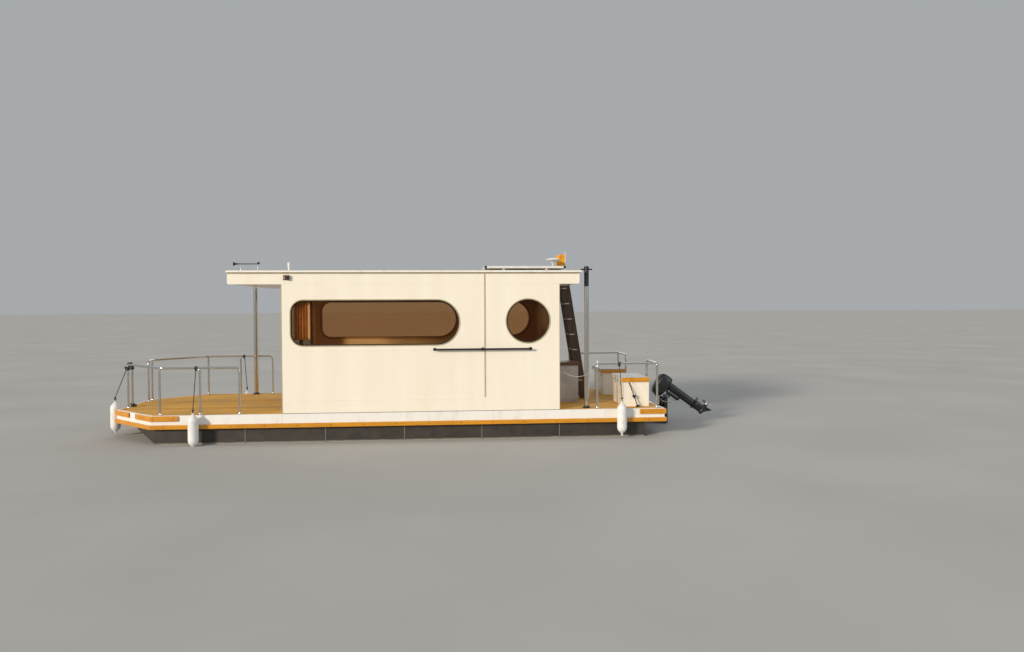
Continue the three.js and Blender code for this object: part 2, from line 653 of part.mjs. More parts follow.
const legSection = (x0, x1, half) => {
  const shape = new THREE.Shape();
  shape.moveTo(x0, 0);
  shape.quadraticCurveTo(x0 + 20, half, (x0 + x1) / 2, half);
  shape.quadraticCurveTo(x1 - 10, half, x1, 0);
  shape.quadraticCurveTo(x1 - 10, -half, (x0 + x1) / 2, -half);
  shape.quadraticCurveTo(x0 + 20, -half, x0, 0);
  return shape;
};
const gear = { z: -697, front: -92, rear: -292, radius: 40 };
const bullet = turned([[0, 0], [22, 12], [gear.radius, 60], [gear.radius, 150], [32, 200],
  [0, 200]], 16).rotate([0, -90, 0]).translate([gear.front, 0, gear.z]);
const skeg = outline([
  [-125, gear.z], [-225, gear.z - 100], [-262, gear.z - 140], [-282, gear.z - 140],
  [-270, gear.z - 60], [-262, gear.z],
]);
const leg = join(
  upright(legSection(-245, -108, 34), -560, 60),
  upright(legSection(-262, -112, 20), gear.z, -520),
  upright(legSection(-320, -85, 62), -506, -494),
  across(skeg, -5, 5),
  bullet,
  box([-200, steer.x], [-16, 16], [22.6, 46]),
  box([-200, steer.x], [-16, 16], [-234, steer.low - 0.6]),
  rod([steer.x, 0, -234], [steer.x, 0, 46], steer.radius, 16));
add("outboard_leg", leg, "blackPaint", outboard);

const cowlSide = outline([
  [-296, 60.3], [-75, 60.3], [60, 85], [98, 130], [92, 250], [40, 292], [-180, 318],
  [-285, 312], [-312, 250], [-312, 110],
]);
const cowlPlan = outline([
  [-320, -60], [-290, -105], [-200, -128], [-40, -128], [60, -110], [100, -70], [100, 70],
  [60, 110], [-40, 128], [-200, 128], [-290, 105], [-320, 60],
]);
add("outboard_cowl", across(cowlSide, -130, 130).intersect(upright(cowlPlan, 50, 330)),
  "blackPaint", outboard);

// Propeller: a hub with three pitched blades
const hub = rod([gear.rear - gap, 0, gear.z], [gear.rear - 66, 0, gear.z], 26, 12);
let propeller = hub;
for (const turn of [0, 120, 240]) {
  const blade = new THREE.BoxGeometry(8, 62, 84).translate(0, 0, 60);
  blade.rotateZ(THREE.MathUtils.degToRad(-58));
  blade.rotateX(THREE.MathUtils.degToRad(turn));
  propeller = join(propeller, solid(blade.translate(gear.rear - 35, 0, gear.z)));
}
add("propeller", propeller, "stainless", outboard);

boat.position.set(-originFromStern, 0, deck.height);
const group = new THREE.Group();
group.name = "houseboat";
group.add(boat);
export default group;
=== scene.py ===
import math

import bmesh
import bpy
from mathutils import Matrix, Vector


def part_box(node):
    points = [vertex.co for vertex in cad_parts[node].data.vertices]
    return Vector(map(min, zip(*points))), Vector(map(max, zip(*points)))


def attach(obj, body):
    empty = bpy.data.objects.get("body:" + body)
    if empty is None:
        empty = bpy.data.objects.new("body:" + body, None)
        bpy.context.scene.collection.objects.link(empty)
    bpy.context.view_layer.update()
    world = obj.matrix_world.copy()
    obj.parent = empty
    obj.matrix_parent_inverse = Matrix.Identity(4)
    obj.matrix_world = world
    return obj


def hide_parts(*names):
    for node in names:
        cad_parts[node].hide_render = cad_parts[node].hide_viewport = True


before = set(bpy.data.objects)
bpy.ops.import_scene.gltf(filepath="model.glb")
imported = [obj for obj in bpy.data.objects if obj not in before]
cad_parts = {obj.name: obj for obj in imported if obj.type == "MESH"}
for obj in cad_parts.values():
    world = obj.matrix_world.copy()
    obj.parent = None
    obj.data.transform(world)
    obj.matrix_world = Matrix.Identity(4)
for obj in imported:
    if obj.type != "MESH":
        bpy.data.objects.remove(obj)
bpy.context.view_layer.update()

STERN_AND_DECK = Vector((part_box("platform")[0].x, 0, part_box("platform")[1].z))


def reach(node):
    """Lowest and highest corner of a node, from the stern end of the deck."""
    low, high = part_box(node)
    return low - STERN_AND_DECK, high - STERN_AND_DECK


# The gap under added pieces, the walls' thickness, and sizes read from the frame
GAP = 0.0003
DECK_LENGTH, DECK_HALF = reach("platform")[1].xy
WALL = 0.06
CABIN_REAR = reach("wall_rear")[1].x - WALL
CABIN_FRONT = reach("wall_front")[1].x
CABIN_HALF = reach("wall_port_fore")[1].y
INNER_HALF = CABIN_HALF - WALL
ROOF_LOW, ROOF_HIGH = reach("roof")
CAP_LOW, CAP_HIGH = reach("roof_cap")
ROOF_TOP = CAP_HIGH.z + GAP
SEAM = reach("wall_port_aft")[1].x
SIDES = {"port": 1, "starboard": -1}
SPUDS = {side: tuple(sum(reach(f"spud_pole_{side}"), Vector()).xy / 2) for side in SIDES}

# Sizes that the boxes don't give
CHAMFER = 0.819
RIM = 0.04
WATERLINE = -0.4545
WINDOW_CORNER = 0.19
SPUD_RADIUS = 0.038
RAIL_RADIUS = 0.017
RAIL_HEIGHT = 0.715
RAIL_Y = DECK_HALF - 0.08
RAIL_BOW = DECK_LENGTH - 0.12
MOTOR = Matrix.Translation((-0.45, 0, 0.02)) @ Matrix.Rotation(math.radians(53.7), 4, "Y")
AFT, FORWARD = Vector((-1, 0, 0)), Vector((1, 0, 0))
PORT, UP = Vector((0, 1, 0)), Vector((0, 0, 1))


# The camera stands on the port side, a little over head height above the deck
def set_camera():
    yaw, pitch, roll = -0.0842, -0.0260, -0.0044
    focal_share = 777.95 / 1024
    data = bpy.data.cameras.new("camera")
    data.sensor_width = 36
    data.lens = focal_share * data.sensor_width
    camera = add_to_scene("camera", data)
    camera.location = (-0.3615, 13.6535, 2.4702)
    camera.rotation_euler = (math.pi / 2 + pitch, -roll, math.pi + yaw)
    bpy.context.scene.camera = camera


def add_to_scene(name, data):
    thing = bpy.data.objects.new(name, data)
    bpy.context.scene.collection.objects.link(thing)
    return thing


set_camera()


# Mesh helpers
def skin(made, loops, closed=False):
    """Faces between loops of points. The two ends are capped, or joined to each other if closed."""
    rows = [[made.verts.new(point) for point in loop] for loop in loops]
    for one, two in zip(rows, rows[1:] + rows[:1] if closed else rows[1:]):
        for i in range(len(one)):
            j = (i + 1) % len(one)
            made.faces.new((one[i], one[j], two[j], two[i]))
    if not closed:
        made.faces.new(rows[0])
        made.faces.new(rows[-1])


def block(made, one, other):
    """A box between two opposite corners."""
    (x0, y0, z0), (x1, y1, z1) = one, other
    skin(made, [[(x0, y0, z), (x1, y0, z), (x1, y1, z), (x0, y1, z)] for z in (z0, z1)])


def flat_block(made, x, y, half, z0, z1):
    """A low box that reaches half its size to each side of a place."""
    block(made, (x - half, y - half, z0), (x + half, y + half, z1))


def four_bars(made, x, y, z, bar):
    """An upright frame of four bars across the boat."""
    for y0, y1, z0, z1 in ((y[0], y[0] + bar, *z), (y[1] - bar, y[1], *z),
                           (y[0] + bar, y[1] - bar, z[0], z[0] + bar),
                           (y[0] + bar, y[1] - bar, z[1] - bar, z[1])):
        block(made, (x[0], y0, z0), (x[1], y1, z1))


def sheet_of(made, place, us, vs):
    """A sheet of faces through the places that a function gives across (u) and up (v)."""
    grid = [[made.verts.new(place(u, v)) for u in us] for v in vs]
    for row, above in zip(grid, grid[1:]):
        for i in range(len(us) - 1):
            made.faces.new((row[i], row[i + 1], above[i + 1], above[i]))


def full_turn(count):
    return [2 * math.pi * i / count for i in range(count)]


def circle(centre, radius, side, up, sides):
    return [centre + radius * (math.cos(a) * side + math.sin(a) * up) for a in full_turn(sides)]


def rounded_square(count, power):
    """Points of a circle that is pressed out towards a square."""
    return [[math.copysign(abs(w) ** power, w) for w in (math.cos(a), math.sin(a))]
            for a in full_turn(count)]


def turned(made, profile, base, axis=UP, sides=40, closed=False):
    """A turned body from pairs of radius and height along the axis."""
    axis = Vector(axis).normalized()
    side = axis.orthogonal().normalized()
    base = Vector(base)
    skin(made, [circle(base + axis * h, r, side, axis.cross(side), sides) for r, h in profile], closed)


def tube(made, line, radius, sides=20, closed=False):
    """A round bar along a line of points."""
    line = [Vector(point) for point in line]
    last = len(line) - 1
    side = None
    loops = []
    for i, here in enumerate(line):
        before = line[i - 1] if closed or i else here
        after = line[(i + 1) % len(line)] if closed or i < last else here
        along = (after - before).normalized()
        side = along.orthogonal() if side is None else side - along * side.dot(along)
        side.normalize()
        loops.append(circle(here, radius, side, along.cross(side), sides))
    skin(made, loops, closed)


def hanging(start, middle, end, t):
    """A place on the smooth bend that three points give."""
    return start * (1 - t) ** 2 + middle * 2 * t * (1 - t) + end * t * t


def bent(corners, bend, steps=7):
    """A line through the corners, with each inner corner rounded."""
    corners = [Vector(corner) for corner in corners]
    line = [corners[0]]
    for before, here, after in zip(corners, corners[1:], corners[2:]):
        back, on = before - here, after - here
        cut = min(bend, back.length * 0.45, on.length * 0.45)
        start, end = here + back.normalized() * cut, here + on.normalized() * cut
        line += [hanging(start, here, end, i / steps) for i in range(steps + 1)]
    return line + [corners[-1]]


def grip(made, foot, out, along, bend, radius, sides=12):
    """A bar handle: out from its foot, along, and back to the face."""
    foot, out, along = Vector(foot), Vector(out), Vector(along)
    tube(made, bent([foot, foot + out, foot + out + along, foot + along], bend), radius, sides)


def screws(made, places, axis, radius=0.0035, height=0.0018):
    """Domed screw heads that stand on a face."""
    for place in places:
        turned(made, [(radius, 0), (radius * 0.9, height * 0.6), (radius * 0.45, height)], place, axis, 12)


def arc(x, z, radius, start, end, steps=10):
    """Points on an arc, angles in degrees."""
    return [(x + radius * math.cos(a), z + radius * math.sin(a))
            for a in map(math.radians, spread(start, end, steps + 1))]


def spread(low, high, count):
    return [low + (high - low) * i / (count - 1) for i in range(count)]


# Colours and material nodes
def linear(code):
    """A colour written as sRGB hex, in linear light."""
    parts = [int(code[i:i + 2], 16) / 255 for i in (0, 2, 4)]
    return [p / 12.92 if p <= 0.04045 else ((p + 0.055) / 1.055) ** 2.4 for p in parts] + [1]


def per_metre(size):
    """Noise scale whose patches are this many millimetres across."""
    return 1000 / size


def bands(size):
    """Wave scale whose bands repeat after this many millimetres."""
    return 1000 * math.pi / (10 * size)


def node(tree, kind, inputs, **settings):
    """Adds a node with its settings and its sockets' values or links."""
    added = tree.nodes.new("ShaderNode" + kind)
    for name, value in settings.items():
        setattr(added, name, value)
    for name, value in inputs.items():
        if isinstance(value, bpy.types.NodeSocket):
            tree.links.new(value, added.inputs[name])
        else:
            added.inputs[name].default_value = value
    return added


def sums(tree, operation, *values):
    return node(tree, "Math", dict(enumerate(values)), operation=operation).outputs[0]


def ramp(tree, value, *stops):
    """Colours along a value. Each stop is a place and a colour."""
    added = node(tree, "ValToRGB", {0: value})
    elements = added.color_ramp.elements
    while len(elements) < len(stops):
        elements.new(1)
    for element, (place, code) in zip(elements, stops):
        element.position = place
        element.color = linear(code)
    return added.outputs[0]


def shift(tree, value, low, high):
    """A value of 0 to 1, laid between two others."""
    return node(tree, "MapRange", {0: value, 3: low, 4: high}).outputs[0]


def blend(tree, share, one, other):
    return node(tree, "Mix", {0: share, 6: one, 7: other}, data_type="RGBA").outputs[2]


def toned(tree, colours, tone):
    """Colours made darker and lighter by a tone around 1."""
    return node(tree, "Mix", {0: 1.0, 6: colours, 7: tone}, data_type="RGBA",
                blend_type="MULTIPLY").outputs[2]


def laid(tree, place, *scale):
    return node(tree, "Mapping", {"Vector": place, "Scale": scale}).outputs[0]


def noise(tree, place, scale, detail=2.0, **more):
    return node(tree, "TexNoise", {"Vector": place, "Scale": scale, "Detail": detail, **more}).outputs[0]


def wave(tree, place, size, direction):
    return node(tree, "TexWave", {"Vector": place, "Scale": bands(size)},
                bands_direction=direction).outputs[1]


def axes(tree, place):
    return node(tree, "SeparateXYZ", {0: place}).outputs


def grain(tree, place, along, across, detail=5, **more):
    """Streaks of wood grain: rings 'across' millimetres wide, drawn out 'along' millimetres."""
    stretched = laid(tree, place, per_metre(along), per_metre(across), per_metre(across))
    return noise(tree, stretched, 1, detail, Roughness=0.6, **more)


def begin(name, **values):
    """A material, its node tree, its shader with these values, and the place on the object."""
    material = bpy.data.materials.new(name)
    material.use_nodes = True
    tree = material.node_tree
    shader = tree.nodes["Principled BSDF"]
    for key, value in {"IOR": 1.5, **values}.items():
        shader.inputs[key.replace("_", " ")].default_value = value
    return material, tree, shader, node(tree, "TexCoord", {}).outputs["Object"]


def paint_with(tree, shader, colours, roughness=None, height=None, depth=0.0003):
    """Links a colour, a roughness and a relief of this depth in metres to the shader."""
    tree.links.new(colours, shader.inputs["Base Color"])
    if roughness is not None:
        tree.links.new(roughness, shader.inputs["Roughness"])
    if height is not None:
        bump = node(tree, "Bump", {"Height": height, "Distance": depth, "Strength": 1.0})
        tree.links.new(bump.outputs["Normal"], shader.inputs["Normal"])


def clouded(name, size, detail, stops, dull=None, depth=None, peel=None, cloud=None, more=(), **values):
    """A finish whose colour, shine and relief follow one cloud with patches of so many millimetres.
    The relief may follow a finer peel instead."""
    material, tree, shader, place = begin(name, **values)
    made = cloud(tree, place) if cloud else noise(tree, place, per_metre(size), detail, **dict(more))
    height = None
    if depth:
        height = noise(tree, place, per_metre(peel)) if peel else made
    paint_with(tree, shader, ramp(tree, made, *stops), dull and shift(tree, made, *dull), height, depth)
    return material


def grained(name, along, across, stops, dull, depth=None, **values):
    """A finish whose colour, shine and relief follow a grain along the boat."""
    return clouded(name, 0, 0, stops, dull, depth,
                   cloud=lambda tree, place: grain(tree, place, along, across), **values)


def inside_cabin(tree, place):
    """1 on the faces inside the cabin's lining, 0 elsewhere."""
    skin_depth = 0.001
    low = Vector((CABIN_REAR + WALL, 0, -0.1)) + STERN_AND_DECK
    high = Vector((CABIN_FRONT - WALL, INNER_HALF, ROOF_LOW.z)) + STERN_AND_DECK
    x, y, z = axes(tree, place)
    beam = sums(tree, "ABSOLUTE", y)
    inside = sums(tree, "GREATER_THAN", x, low.x - skin_depth)
    for value, limit in ((x, high.x), (beam, high.y), (z, high.z)):
        inside = sums(tree, "MULTIPLY", inside, sums(tree, "LESS_THAN", value, limit + skin_depth))
    return inside


def gel_coat():
    """Glass-fibre sandwich with a moulded cream gel coat: smooth, softly glossy, faintly
    streaked by rain, and lined with pale ply inside the cabin."""
    material, tree, shader, place = begin("gel_coat", Coat_Weight=0.25, Coat_Roughness=0.12)
    streaks = noise(tree, laid(tree, place, 5, 5, 0.8), 1, 4)
    cream = ramp(tree, streaks, (0.25, "F0E7D3"), (0.75, "F5EEDD"))
    ply = ramp(tree, grain(tree, place, 900, 30), (0.3, "ECD0A0"), (0.7, "F8E4C2"))
    # Orange peel of 10 mm waves, coarser than the real 3 mm, so that it shows
    peel = noise(tree, place, per_metre(10), 1)
    paint_with(tree, shader, blend(tree, inside_cabin(tree, place), cream, ply),
               shift(tree, streaks, 0.24, 0.4), peel, 0.00012)
    return material


def float_shell():
    """Rotationally moulded polyethylene: dull charcoal, cloudy, and paler in a wavy band that
    reaches a few centimetres above the waterline."""
    material, tree, shader, place = begin("float_shell")
    cloud = noise(tree, place, per_metre(180), 6)
    shell = ramp(tree, cloud, (0.3, "2B2822"), (0.7, "403B33"))
    water = STERN_AND_DECK.z + WATERLINE
    # A wavy band up to about 5 cm above the waterline is painted paler than the shell
    wavy = sums(tree, "MULTIPLY_ADD", cloud, 0.03, axes(tree, place)["Z"])
    line = node(tree, "MapRange", {0: wavy, 1: water + 0.028, 2: water + 0.05}).outputs[0]
    waterline_band = ramp(tree, line, (0.0, "A09C8E"), (0.45, "8A867A"), (1.0, "6A675E"))
    grit = noise(tree, place, per_metre(9), 3)
    paint_with(tree, shader, blend(tree, shift(tree, line, 0.7, 0.0), shell, waterline_band),
               shift(tree, cloud, 0.42, 0.65), grit, 0.0004)
    return material


def band_paint():
    """White enamel on the platform's band and the roof's cap: glossy, with grey runs and scuffs."""
    return clouded("band_paint", 0, 0, [(0.3, "DEDAD0"), (0.45, "EDEBE4"), (0.75, "F1F0EA")],
                   (0.42, 0.25), 0.00015, Coat_Weight=0.3, Coat_Roughness=0.1,
                   cloud=lambda tree, place: noise(tree, laid(tree, place, 9, 9, 2), 1, 8, Roughness=0.65))


def weld_bead():
    """Polyethylene weld: chalkier and paler than the shell, laid in short overlapping pulls."""
    return clouded("weld_bead", 0, 0, [(0.2, "66625B"), (0.8, "827D74")], None, 0.001, Roughness=0.6,
                   cloud=lambda tree, place: wave(tree, place, 14, "Z"))


BOARD_PITCH = 0.146
BOARD_GROOVE = 0.005
BOARDS_FROM = -10 * BOARD_PITCH


def strakes(tree, place, pitch):
    """The count of boards across the boat, and a random shade for each."""
    count = sums(tree, "DIVIDE", axes(tree, place)["Y"], pitch)
    number = sums(tree, "FLOOR", count)
    return count, node(tree, "TexWhiteNoise", {"W": number}, noise_dimensions="1D").outputs[0]


def deck_board():
    """Extruded wood-fibre decking: tan boards ribbed along their length, each of its own shade,
    bleached by the sun and greyed where feet go."""
    material, tree, shader, place = begin("deck_board", IOR=1.45, Roughness=0.72)
    board = ramp(tree, strakes(tree, place, BOARD_PITCH)[1],
                 (0.0, "CE9434"), (0.5, "DEA53A"), (1.0, "E9B146"))
    wear = noise(tree, place, per_metre(420), 7)
    worn = node(tree, "MapRange", {0: wear, 1: 0.42, 2: 0.72, 3: 0, 4: 0.55}).outputs[0]
    grey = blend(tree, worn, board, linear("AA9260"))
    tone = shift(tree, grain(tree, place, 400, 12), 0.72, 1.18)
    # Ribs of 12 mm, coarser than the real 5 mm, so that they show
    paint_with(tree, shader, toned(tree, grey, tone), None, wave(tree, place, 12, "Y"), 0.0012)
    return material


def rail_wood():
    """Varnished hardwood: orange brown under a clear gloss, its grain along the rail."""
    material, tree, shader, place = begin("rail_wood", Coat_Weight=0.6, Coat_Roughness=0.12)
    x, y, z = axes(tree, place)
    # The way along the rail, round the chamfered bow as well as down the sides
    along = sums(tree, "SUBTRACT", x, sums(tree, "ABSOLUTE", y))
    run = node(tree, "CombineXYZ", {"X": along, "Z": z}).outputs[0]
    streaks = noise(tree, laid(tree, run, 3, 1, 150), 1, 6)
    wood = ramp(tree, streaks, (0.25, "A86404"), (0.5, "D68F08"), (0.78, "E9AA14"))
    patches = noise(tree, run, 2.2, 3)
    paint_with(tree, shader, toned(tree, wood, shift(tree, patches, 0.75, 1.15)),
               shift(tree, patches, 0.3, 0.5), streaks)
    return material


def stained_wood():
    """Softwood with a dark brown stain: open grain that runs up the ladder's planks."""
    up_the_plank = [per_metre(size) for size in (16, 16, 500)]
    return clouded("stained_wood", 0, 0, [(0.25, "2A1B12"), (0.55, "4B3423"), (0.8, "6A4C33")],
                   (0.45, 0.65), 0.0006,
                   cloud=lambda tree, place: noise(tree, laid(tree, place, *up_the_plank), 1, 6))


def cabinet_board():
    """Oiled brown worktop board, grain along the boat."""
    return grained("cabinet_board", 500, 14, [(0.25, "4A2C18"), (0.55, "6B4427"), (0.8, "8A5C38")],
                   (0.35, 0.55), 0.0004)


def birch_ply():
    """Birch plywood under matt oil: pale, with a quiet figure along the boat."""
    return grained("birch_ply", 700, 26, [(0.3, "B98548"), (0.55, "CFA066"), (0.75, "DDB47E")],
                   (0.42, 0.58), 0.0002)


def bronze_acrylic():
    """Cast acrylic sheet tinted bronze: clear, brown, very smooth, with a film of dust."""
    return pane_finish("bronze_acrylic", 1.49, "F3E2CE", "2B1B10", "5A4230")


def float_glass():
    """Toughened float glass in the front door: clear, a trace of green, hard and glossy."""
    return pane_finish("float_glass", 1.52, "F6FBF8", "3C4340", "6F7773")


def pane_finish(name, ior, tint, low, high):
    material, tree, shader, place = begin(name, IOR=ior, Roughness=0.04)
    film = noise(tree, place, per_metre(350), 6)
    paint_with(tree, shader, ramp(tree, film, (0.3, low), (0.75, high)))
    # Each of the sheet's two faces takes out half of its tint
    clear = node(tree, "BsdfTransparent", {"Color": linear(tint)}).outputs[0]
    # A face mirrors 4 % straight on and more at a slant, alike from both of its sides
    slant = node(tree, "LayerWeight", {"Blend": 0.5}).outputs["Facing"]
    gloss = sums(tree, "MULTIPLY_ADD", sums(tree, "POWER", slant, 5.0), 0.96, 0.04)
    veil = sums(tree, "MULTIPLY_ADD", film, 0.06, gloss)
    both = node(tree, "MixShader", {0: veil, 1: clear, 2: shader.outputs[0]}).outputs[0]
    tree.links.new(both, tree.nodes["Material Output"].inputs["Surface"])
    return material


def polished_steel():
    """Stainless tube, polished: bright and smooth, with fine lines from the wheel."""
    up_the_tube = [per_metre(size) for size in (6, 6, 60)]
    return clouded("polished_steel", 0, 0, [(0.3, "BDBBB5"), (0.7, "DCDAD4")], (0.12, 0.26),
                   cloud=lambda tree, place: noise(tree, laid(tree, place, *up_the_tube), 1, 4),
                   Metallic=1.0)


def black_nylon():
    """Black nylon, injection moulded: fine grain, a dull shine."""
    return clouded("black_nylon", 40, 4, [(0.3, "121214"), (0.7, "1E1E20")], (0.38, 0.55), 0.0001,
                   peel=2.5, IOR=1.53)


def black_enamel():
    """Black enamel over aluminium castings: hard gloss, worn grey in patches."""
    return clouded("black_enamel", 70, 8, [(0.3, "0E0F11"), (0.62, "17181A"), (0.8, "2E2F31")],
                   (0.22, 0.5), 0.0001, Coat_Weight=0.4, Coat_Roughness=0.1)


def olive_coating():
    """Extruded aluminium, powder coated in olive tan: satin, with a fine orange peel."""
    return clouded("olive_coating", 150, 5, [(0.3, "A89C74"), (0.7, "BDB189")], (0.35, 0.5), 0.00005,
                   peel=3)


def silver_coating():
    """Extruded aluminium, powder coated in pale silver: satin and clean."""
    return clouded("silver_coating", 150, 5, [(0.3, "CFCCC4"), (0.7, "E0DED8")], (0.3, 0.45))


def silver_anodising():
    """Extruded aluminium, anodised silver: satin with drawn lines along its length."""
    return grained("silver_anodising", 300, 4, [(0.3, "C3C4C2"), (0.7, "E2E3E1")], (0.24, 0.38),
                   Metallic=1.0)


def solar_glass():
    """Silicon cells laminated under glass: near-black blue squares, pale wires, a hard gloss."""
    cell_size = 0.156
    material, tree, shader, place = begin("solar_glass", Roughness=0.08, Coat_Weight=1.0,
                                          Coat_Roughness=0.03)
    shares = []
    for way in axes(tree, place)[:2]:
        share = sums(tree, "FRACT", sums(tree, "DIVIDE", way, cell_size))
        shares.append(sums(tree, "ABSOLUTE", sums(tree, "SUBTRACT", share, 0.5)))
    join = sums(tree, "GREATER_THAN", sums(tree, "MAXIMUM", *shares), 0.485)
    wire = sums(tree, "GREATER_THAN", wave(tree, place, 26, "Y"), 0.985)
    crystal = node(tree, "TexVoronoi", {"Vector": place, "Scale": per_metre(14)}).outputs["Color"]
    cell = ramp(tree, sums(tree, "MULTIPLY", crystal, 0.3), (0.0, "070B18"), (1.0, "16264A"))
    lined = blend(tree, wire, cell, linear("6F7680"))
    paint_with(tree, shader, blend(tree, join, lined, linear("C9CCD0")))
    return material


def grey_melamine():
    """Melamine-faced board, light warm grey: flat, satin, faintly mottled by weather."""
    return clouded("grey_melamine", 220, 6, [(0.3, "ABA5A0"), (0.7, "BFB9B3")], (0.38, 0.52), 0.00008,
                   peel=6)


def white_moulding():
    """White plastic, injection moulded: clean, half gloss, slightly yellowed."""
    return clouded("white_moulding", 60, 5, [(0.3, "DDD9CF"), (0.7, "EFECE4")], (0.28, 0.42))


def lid_sheet():
    """Sanded glass-fibre sheet on the locker lids: pale grey with a grit that grips."""
    material, tree, shader, place = begin("lid_sheet", Roughness=0.6)
    pale = ramp(tree, noise(tree, place, per_metre(120), 6), (0.3, "B9B8B2"), (0.7, "D2D1CB"))
    # Grit of 3 mm, coarser than the real 1 mm, so that it shows
    grit = node(tree, "TexVoronoi", {"Vector": place, "Scale": per_metre(3)}).outputs["Distance"]
    paint_with(tree, shader, pale, None, grit, 0.0004)
    return material


def fender_vinyl():
    """Inflated vinyl, rotationally moulded: white, soft gloss, rubbed grey round its middle."""
    return clouded("fender_vinyl", 90, 8, [(0.3, "C9CBCC"), (0.42, "E2E2E0"), (0.7, "EBEBE7")],
                   (0.5, 0.28), 0.0003, more={"Roughness": 0.65}, IOR=1.52, Subsurface_Weight=0.1,
                   Subsurface_Scale=0.01)


def black_rope():
    """Braided polyester rope, black and a little faded: the strands lie across each other."""
    return rope_finish("black_rope", "151517", "34353A")


def beige_rope():
    """Braided polyester rope, natural: strands lie across each other, with dirt between them."""
    return rope_finish("beige_rope", "7F7867", "C6BEA9")


def rope_finish(name, low, high):
    material, tree, shader, place = begin(name, Sheen_Weight=0.3, Sheen_Roughness=0.5, Roughness=0.85)
    # Strands of 8 mm, coarser than the real 2 mm, so that they show
    strands = sums(tree, "MAXIMUM", wave(tree, place, 8, "DIAGONAL"),
                   wave(tree, laid(tree, place, 1, 1, -1), 8, "DIAGONAL"))
    paint_with(tree, shader, ramp(tree, strands, (0.4, low), (1.0, high)), None, strands, 0.001)
    return material


def cloth_finish(name, low, high, thread, depth):
    """A plain weave whose threads repeat after so many millimetres."""
    material, tree, shader, place = begin(name, Sheen_Weight=0.4, Sheen_Roughness=0.5, Roughness=0.9)
    warp, weft, rows = (wave(tree, place, thread, way) for way in "XZY")
    threads = sums(tree, "MULTIPLY", warp, sums(tree, "MAXIMUM", weft, rows))
    tone = sums(tree, "MULTIPLY_ADD", threads, 0.35, noise(tree, place, per_metre(70), 6))
    paint_with(tree, shader, ramp(tree, tone, (0.35, low), (0.85, high)), None, threads, depth)
    return material


def seat_cloth():
    """Woven seat cloth over foam: greige, matt, its threads drawn at 5 mm, coarser than real."""
    return cloth_finish("seat_cloth", "6F6656", "A39A86", 5, 0.0005)


def curtain_cloth():
    """Loose woven curtain: warm brown, matt, its threads drawn at 4 mm, coarser than real."""
    return cloth_finish("curtain_cloth", "A87B4C", "E6C08A", 4, 0.0004)


def hem_cloth():
    """The curtain's pale cotton lining, turned over at its edge."""
    return cloth_finish("hem_cloth", "EADCC0", "FBF3E2", 4, 0.0004)


def flag_cloth():
    """Thin woven polyester, amber orange, a little faded at its folds."""
    return cloth_finish("flag_cloth", "CC7E00", "EAA80A", 3, 0.0002)


def floor_sheet():
    """Printed vinyl floor with an oak plank pattern, 180 mm to the plank."""
    material, tree, shader, place = begin("floor_sheet", Roughness=0.45)
    count, shade = strakes(tree, place, 0.18)
    joint = sums(tree, "LESS_THAN", sums(tree, "FRACT", count), 0.02)
    tone = sums(tree, "MULTIPLY_ADD", shade, 0.4, grain(tree, place, 600, 16))
    oak = ramp(tree, tone, (0.3, "8F7350"), (0.9, "BCA07A"))
    paint_with(tree, shader, blend(tree, joint, oak, linear("5B4730")))
    return material


def rubber_seal():
    """Moulded black rubber gasket: dull, a little dusty."""
    return clouded("rubber_seal", 30, 6, [(0.3, "141312"), (0.75, "2C2823")], None, 0.0001,
                   IOR=1.52, Roughness=0.75)


def lens_finish(name, low, high):
    """Moulded acrylic with upright ribs."""
    return clouded(name, 0, 0, [(0.2, low), (0.9, high)], None, 0.0006, IOR=1.49, Roughness=0.12,
                   Coat_Weight=0.5, cloud=lambda tree, place: wave(tree, place, 6, "Z"))


def red_lens():
    """Red moulded acrylic lens."""
    return lens_finish("red_lens", "4A1812", "96503A")


def green_lens():
    """Green moulded acrylic lens."""
    return lens_finish("green_lens", "0C4A2C", "2E8A58")


def white_lens():
    """Clear moulded acrylic lens, milky white behind its ribs."""
    return lens_finish("white_lens", "D9D8D0", "FBFAF4")


def cast_alloy():
    """Propeller of cast aluminium, tumbled bright: soft metal shine with small dents."""
    return clouded("cast_alloy", 20, 6, [(0.3, "A6A7A8"), (0.7, "D2D3D4")], (0.22, 0.42), 0.0003,
                   Metallic=1.0)


# The record's slots, each with the finishes that belong to it
SLOTS = {
    "cream_panel": (gel_coat,),
    "float_plastic": (float_shell, weld_bead),
    "white_paint": (band_paint, white_moulding, lid_sheet, white_lens),
    "deck_board": (deck_board,),
    "varnished_wood": (rail_wood,),
    "dark_wood": (stained_wood, cabinet_board),
    "plywood": (birch_ply, floor_sheet),
    "glass_pane": (bronze_acrylic, float_glass),
    "stainless": (polished_steel, olive_coating, silver_coating, silver_anodising, cast_alloy),
    "black_plastic": (black_nylon, black_rope, rubber_seal, red_lens, green_lens),
    "black_paint": (black_enamel,),
    "solar_cells": (solar_glass,),
    "grey_panel": (grey_melamine,),
    "fender_vinyl": (fender_vinyl,),
    "rope_lay": (beige_rope,),
    "upholstery": (seat_cloth,),
    "curtain_cloth": (curtain_cloth, hem_cloth),
    "flag_cloth": (flag_cloth,),
}
FINISHES = {maker.__name__: (maker(), slot) for slot, makers in SLOTS.items() for maker in makers}


def round_edges(thing, width, limit=40):
    """Rounds a piece's edges and shades the faces between them flat."""
    bevel = thing.modifiers.new("rounded edges", "BEVEL")
    bevel.width = width
    bevel.segments = 2
    bevel.limit_method = "ANGLE"
    bevel.angle_limit = math.radians(limit)
    bevel.use_clamp_overlap = True
    thing.modifiers.new("even shading", "WEIGHTED_NORMAL")


def subdivide(thing):
    smooth = thing.modifiers.new("one subdivision", "SUBSURF")
    smooth.levels = smooth.render_levels = 1


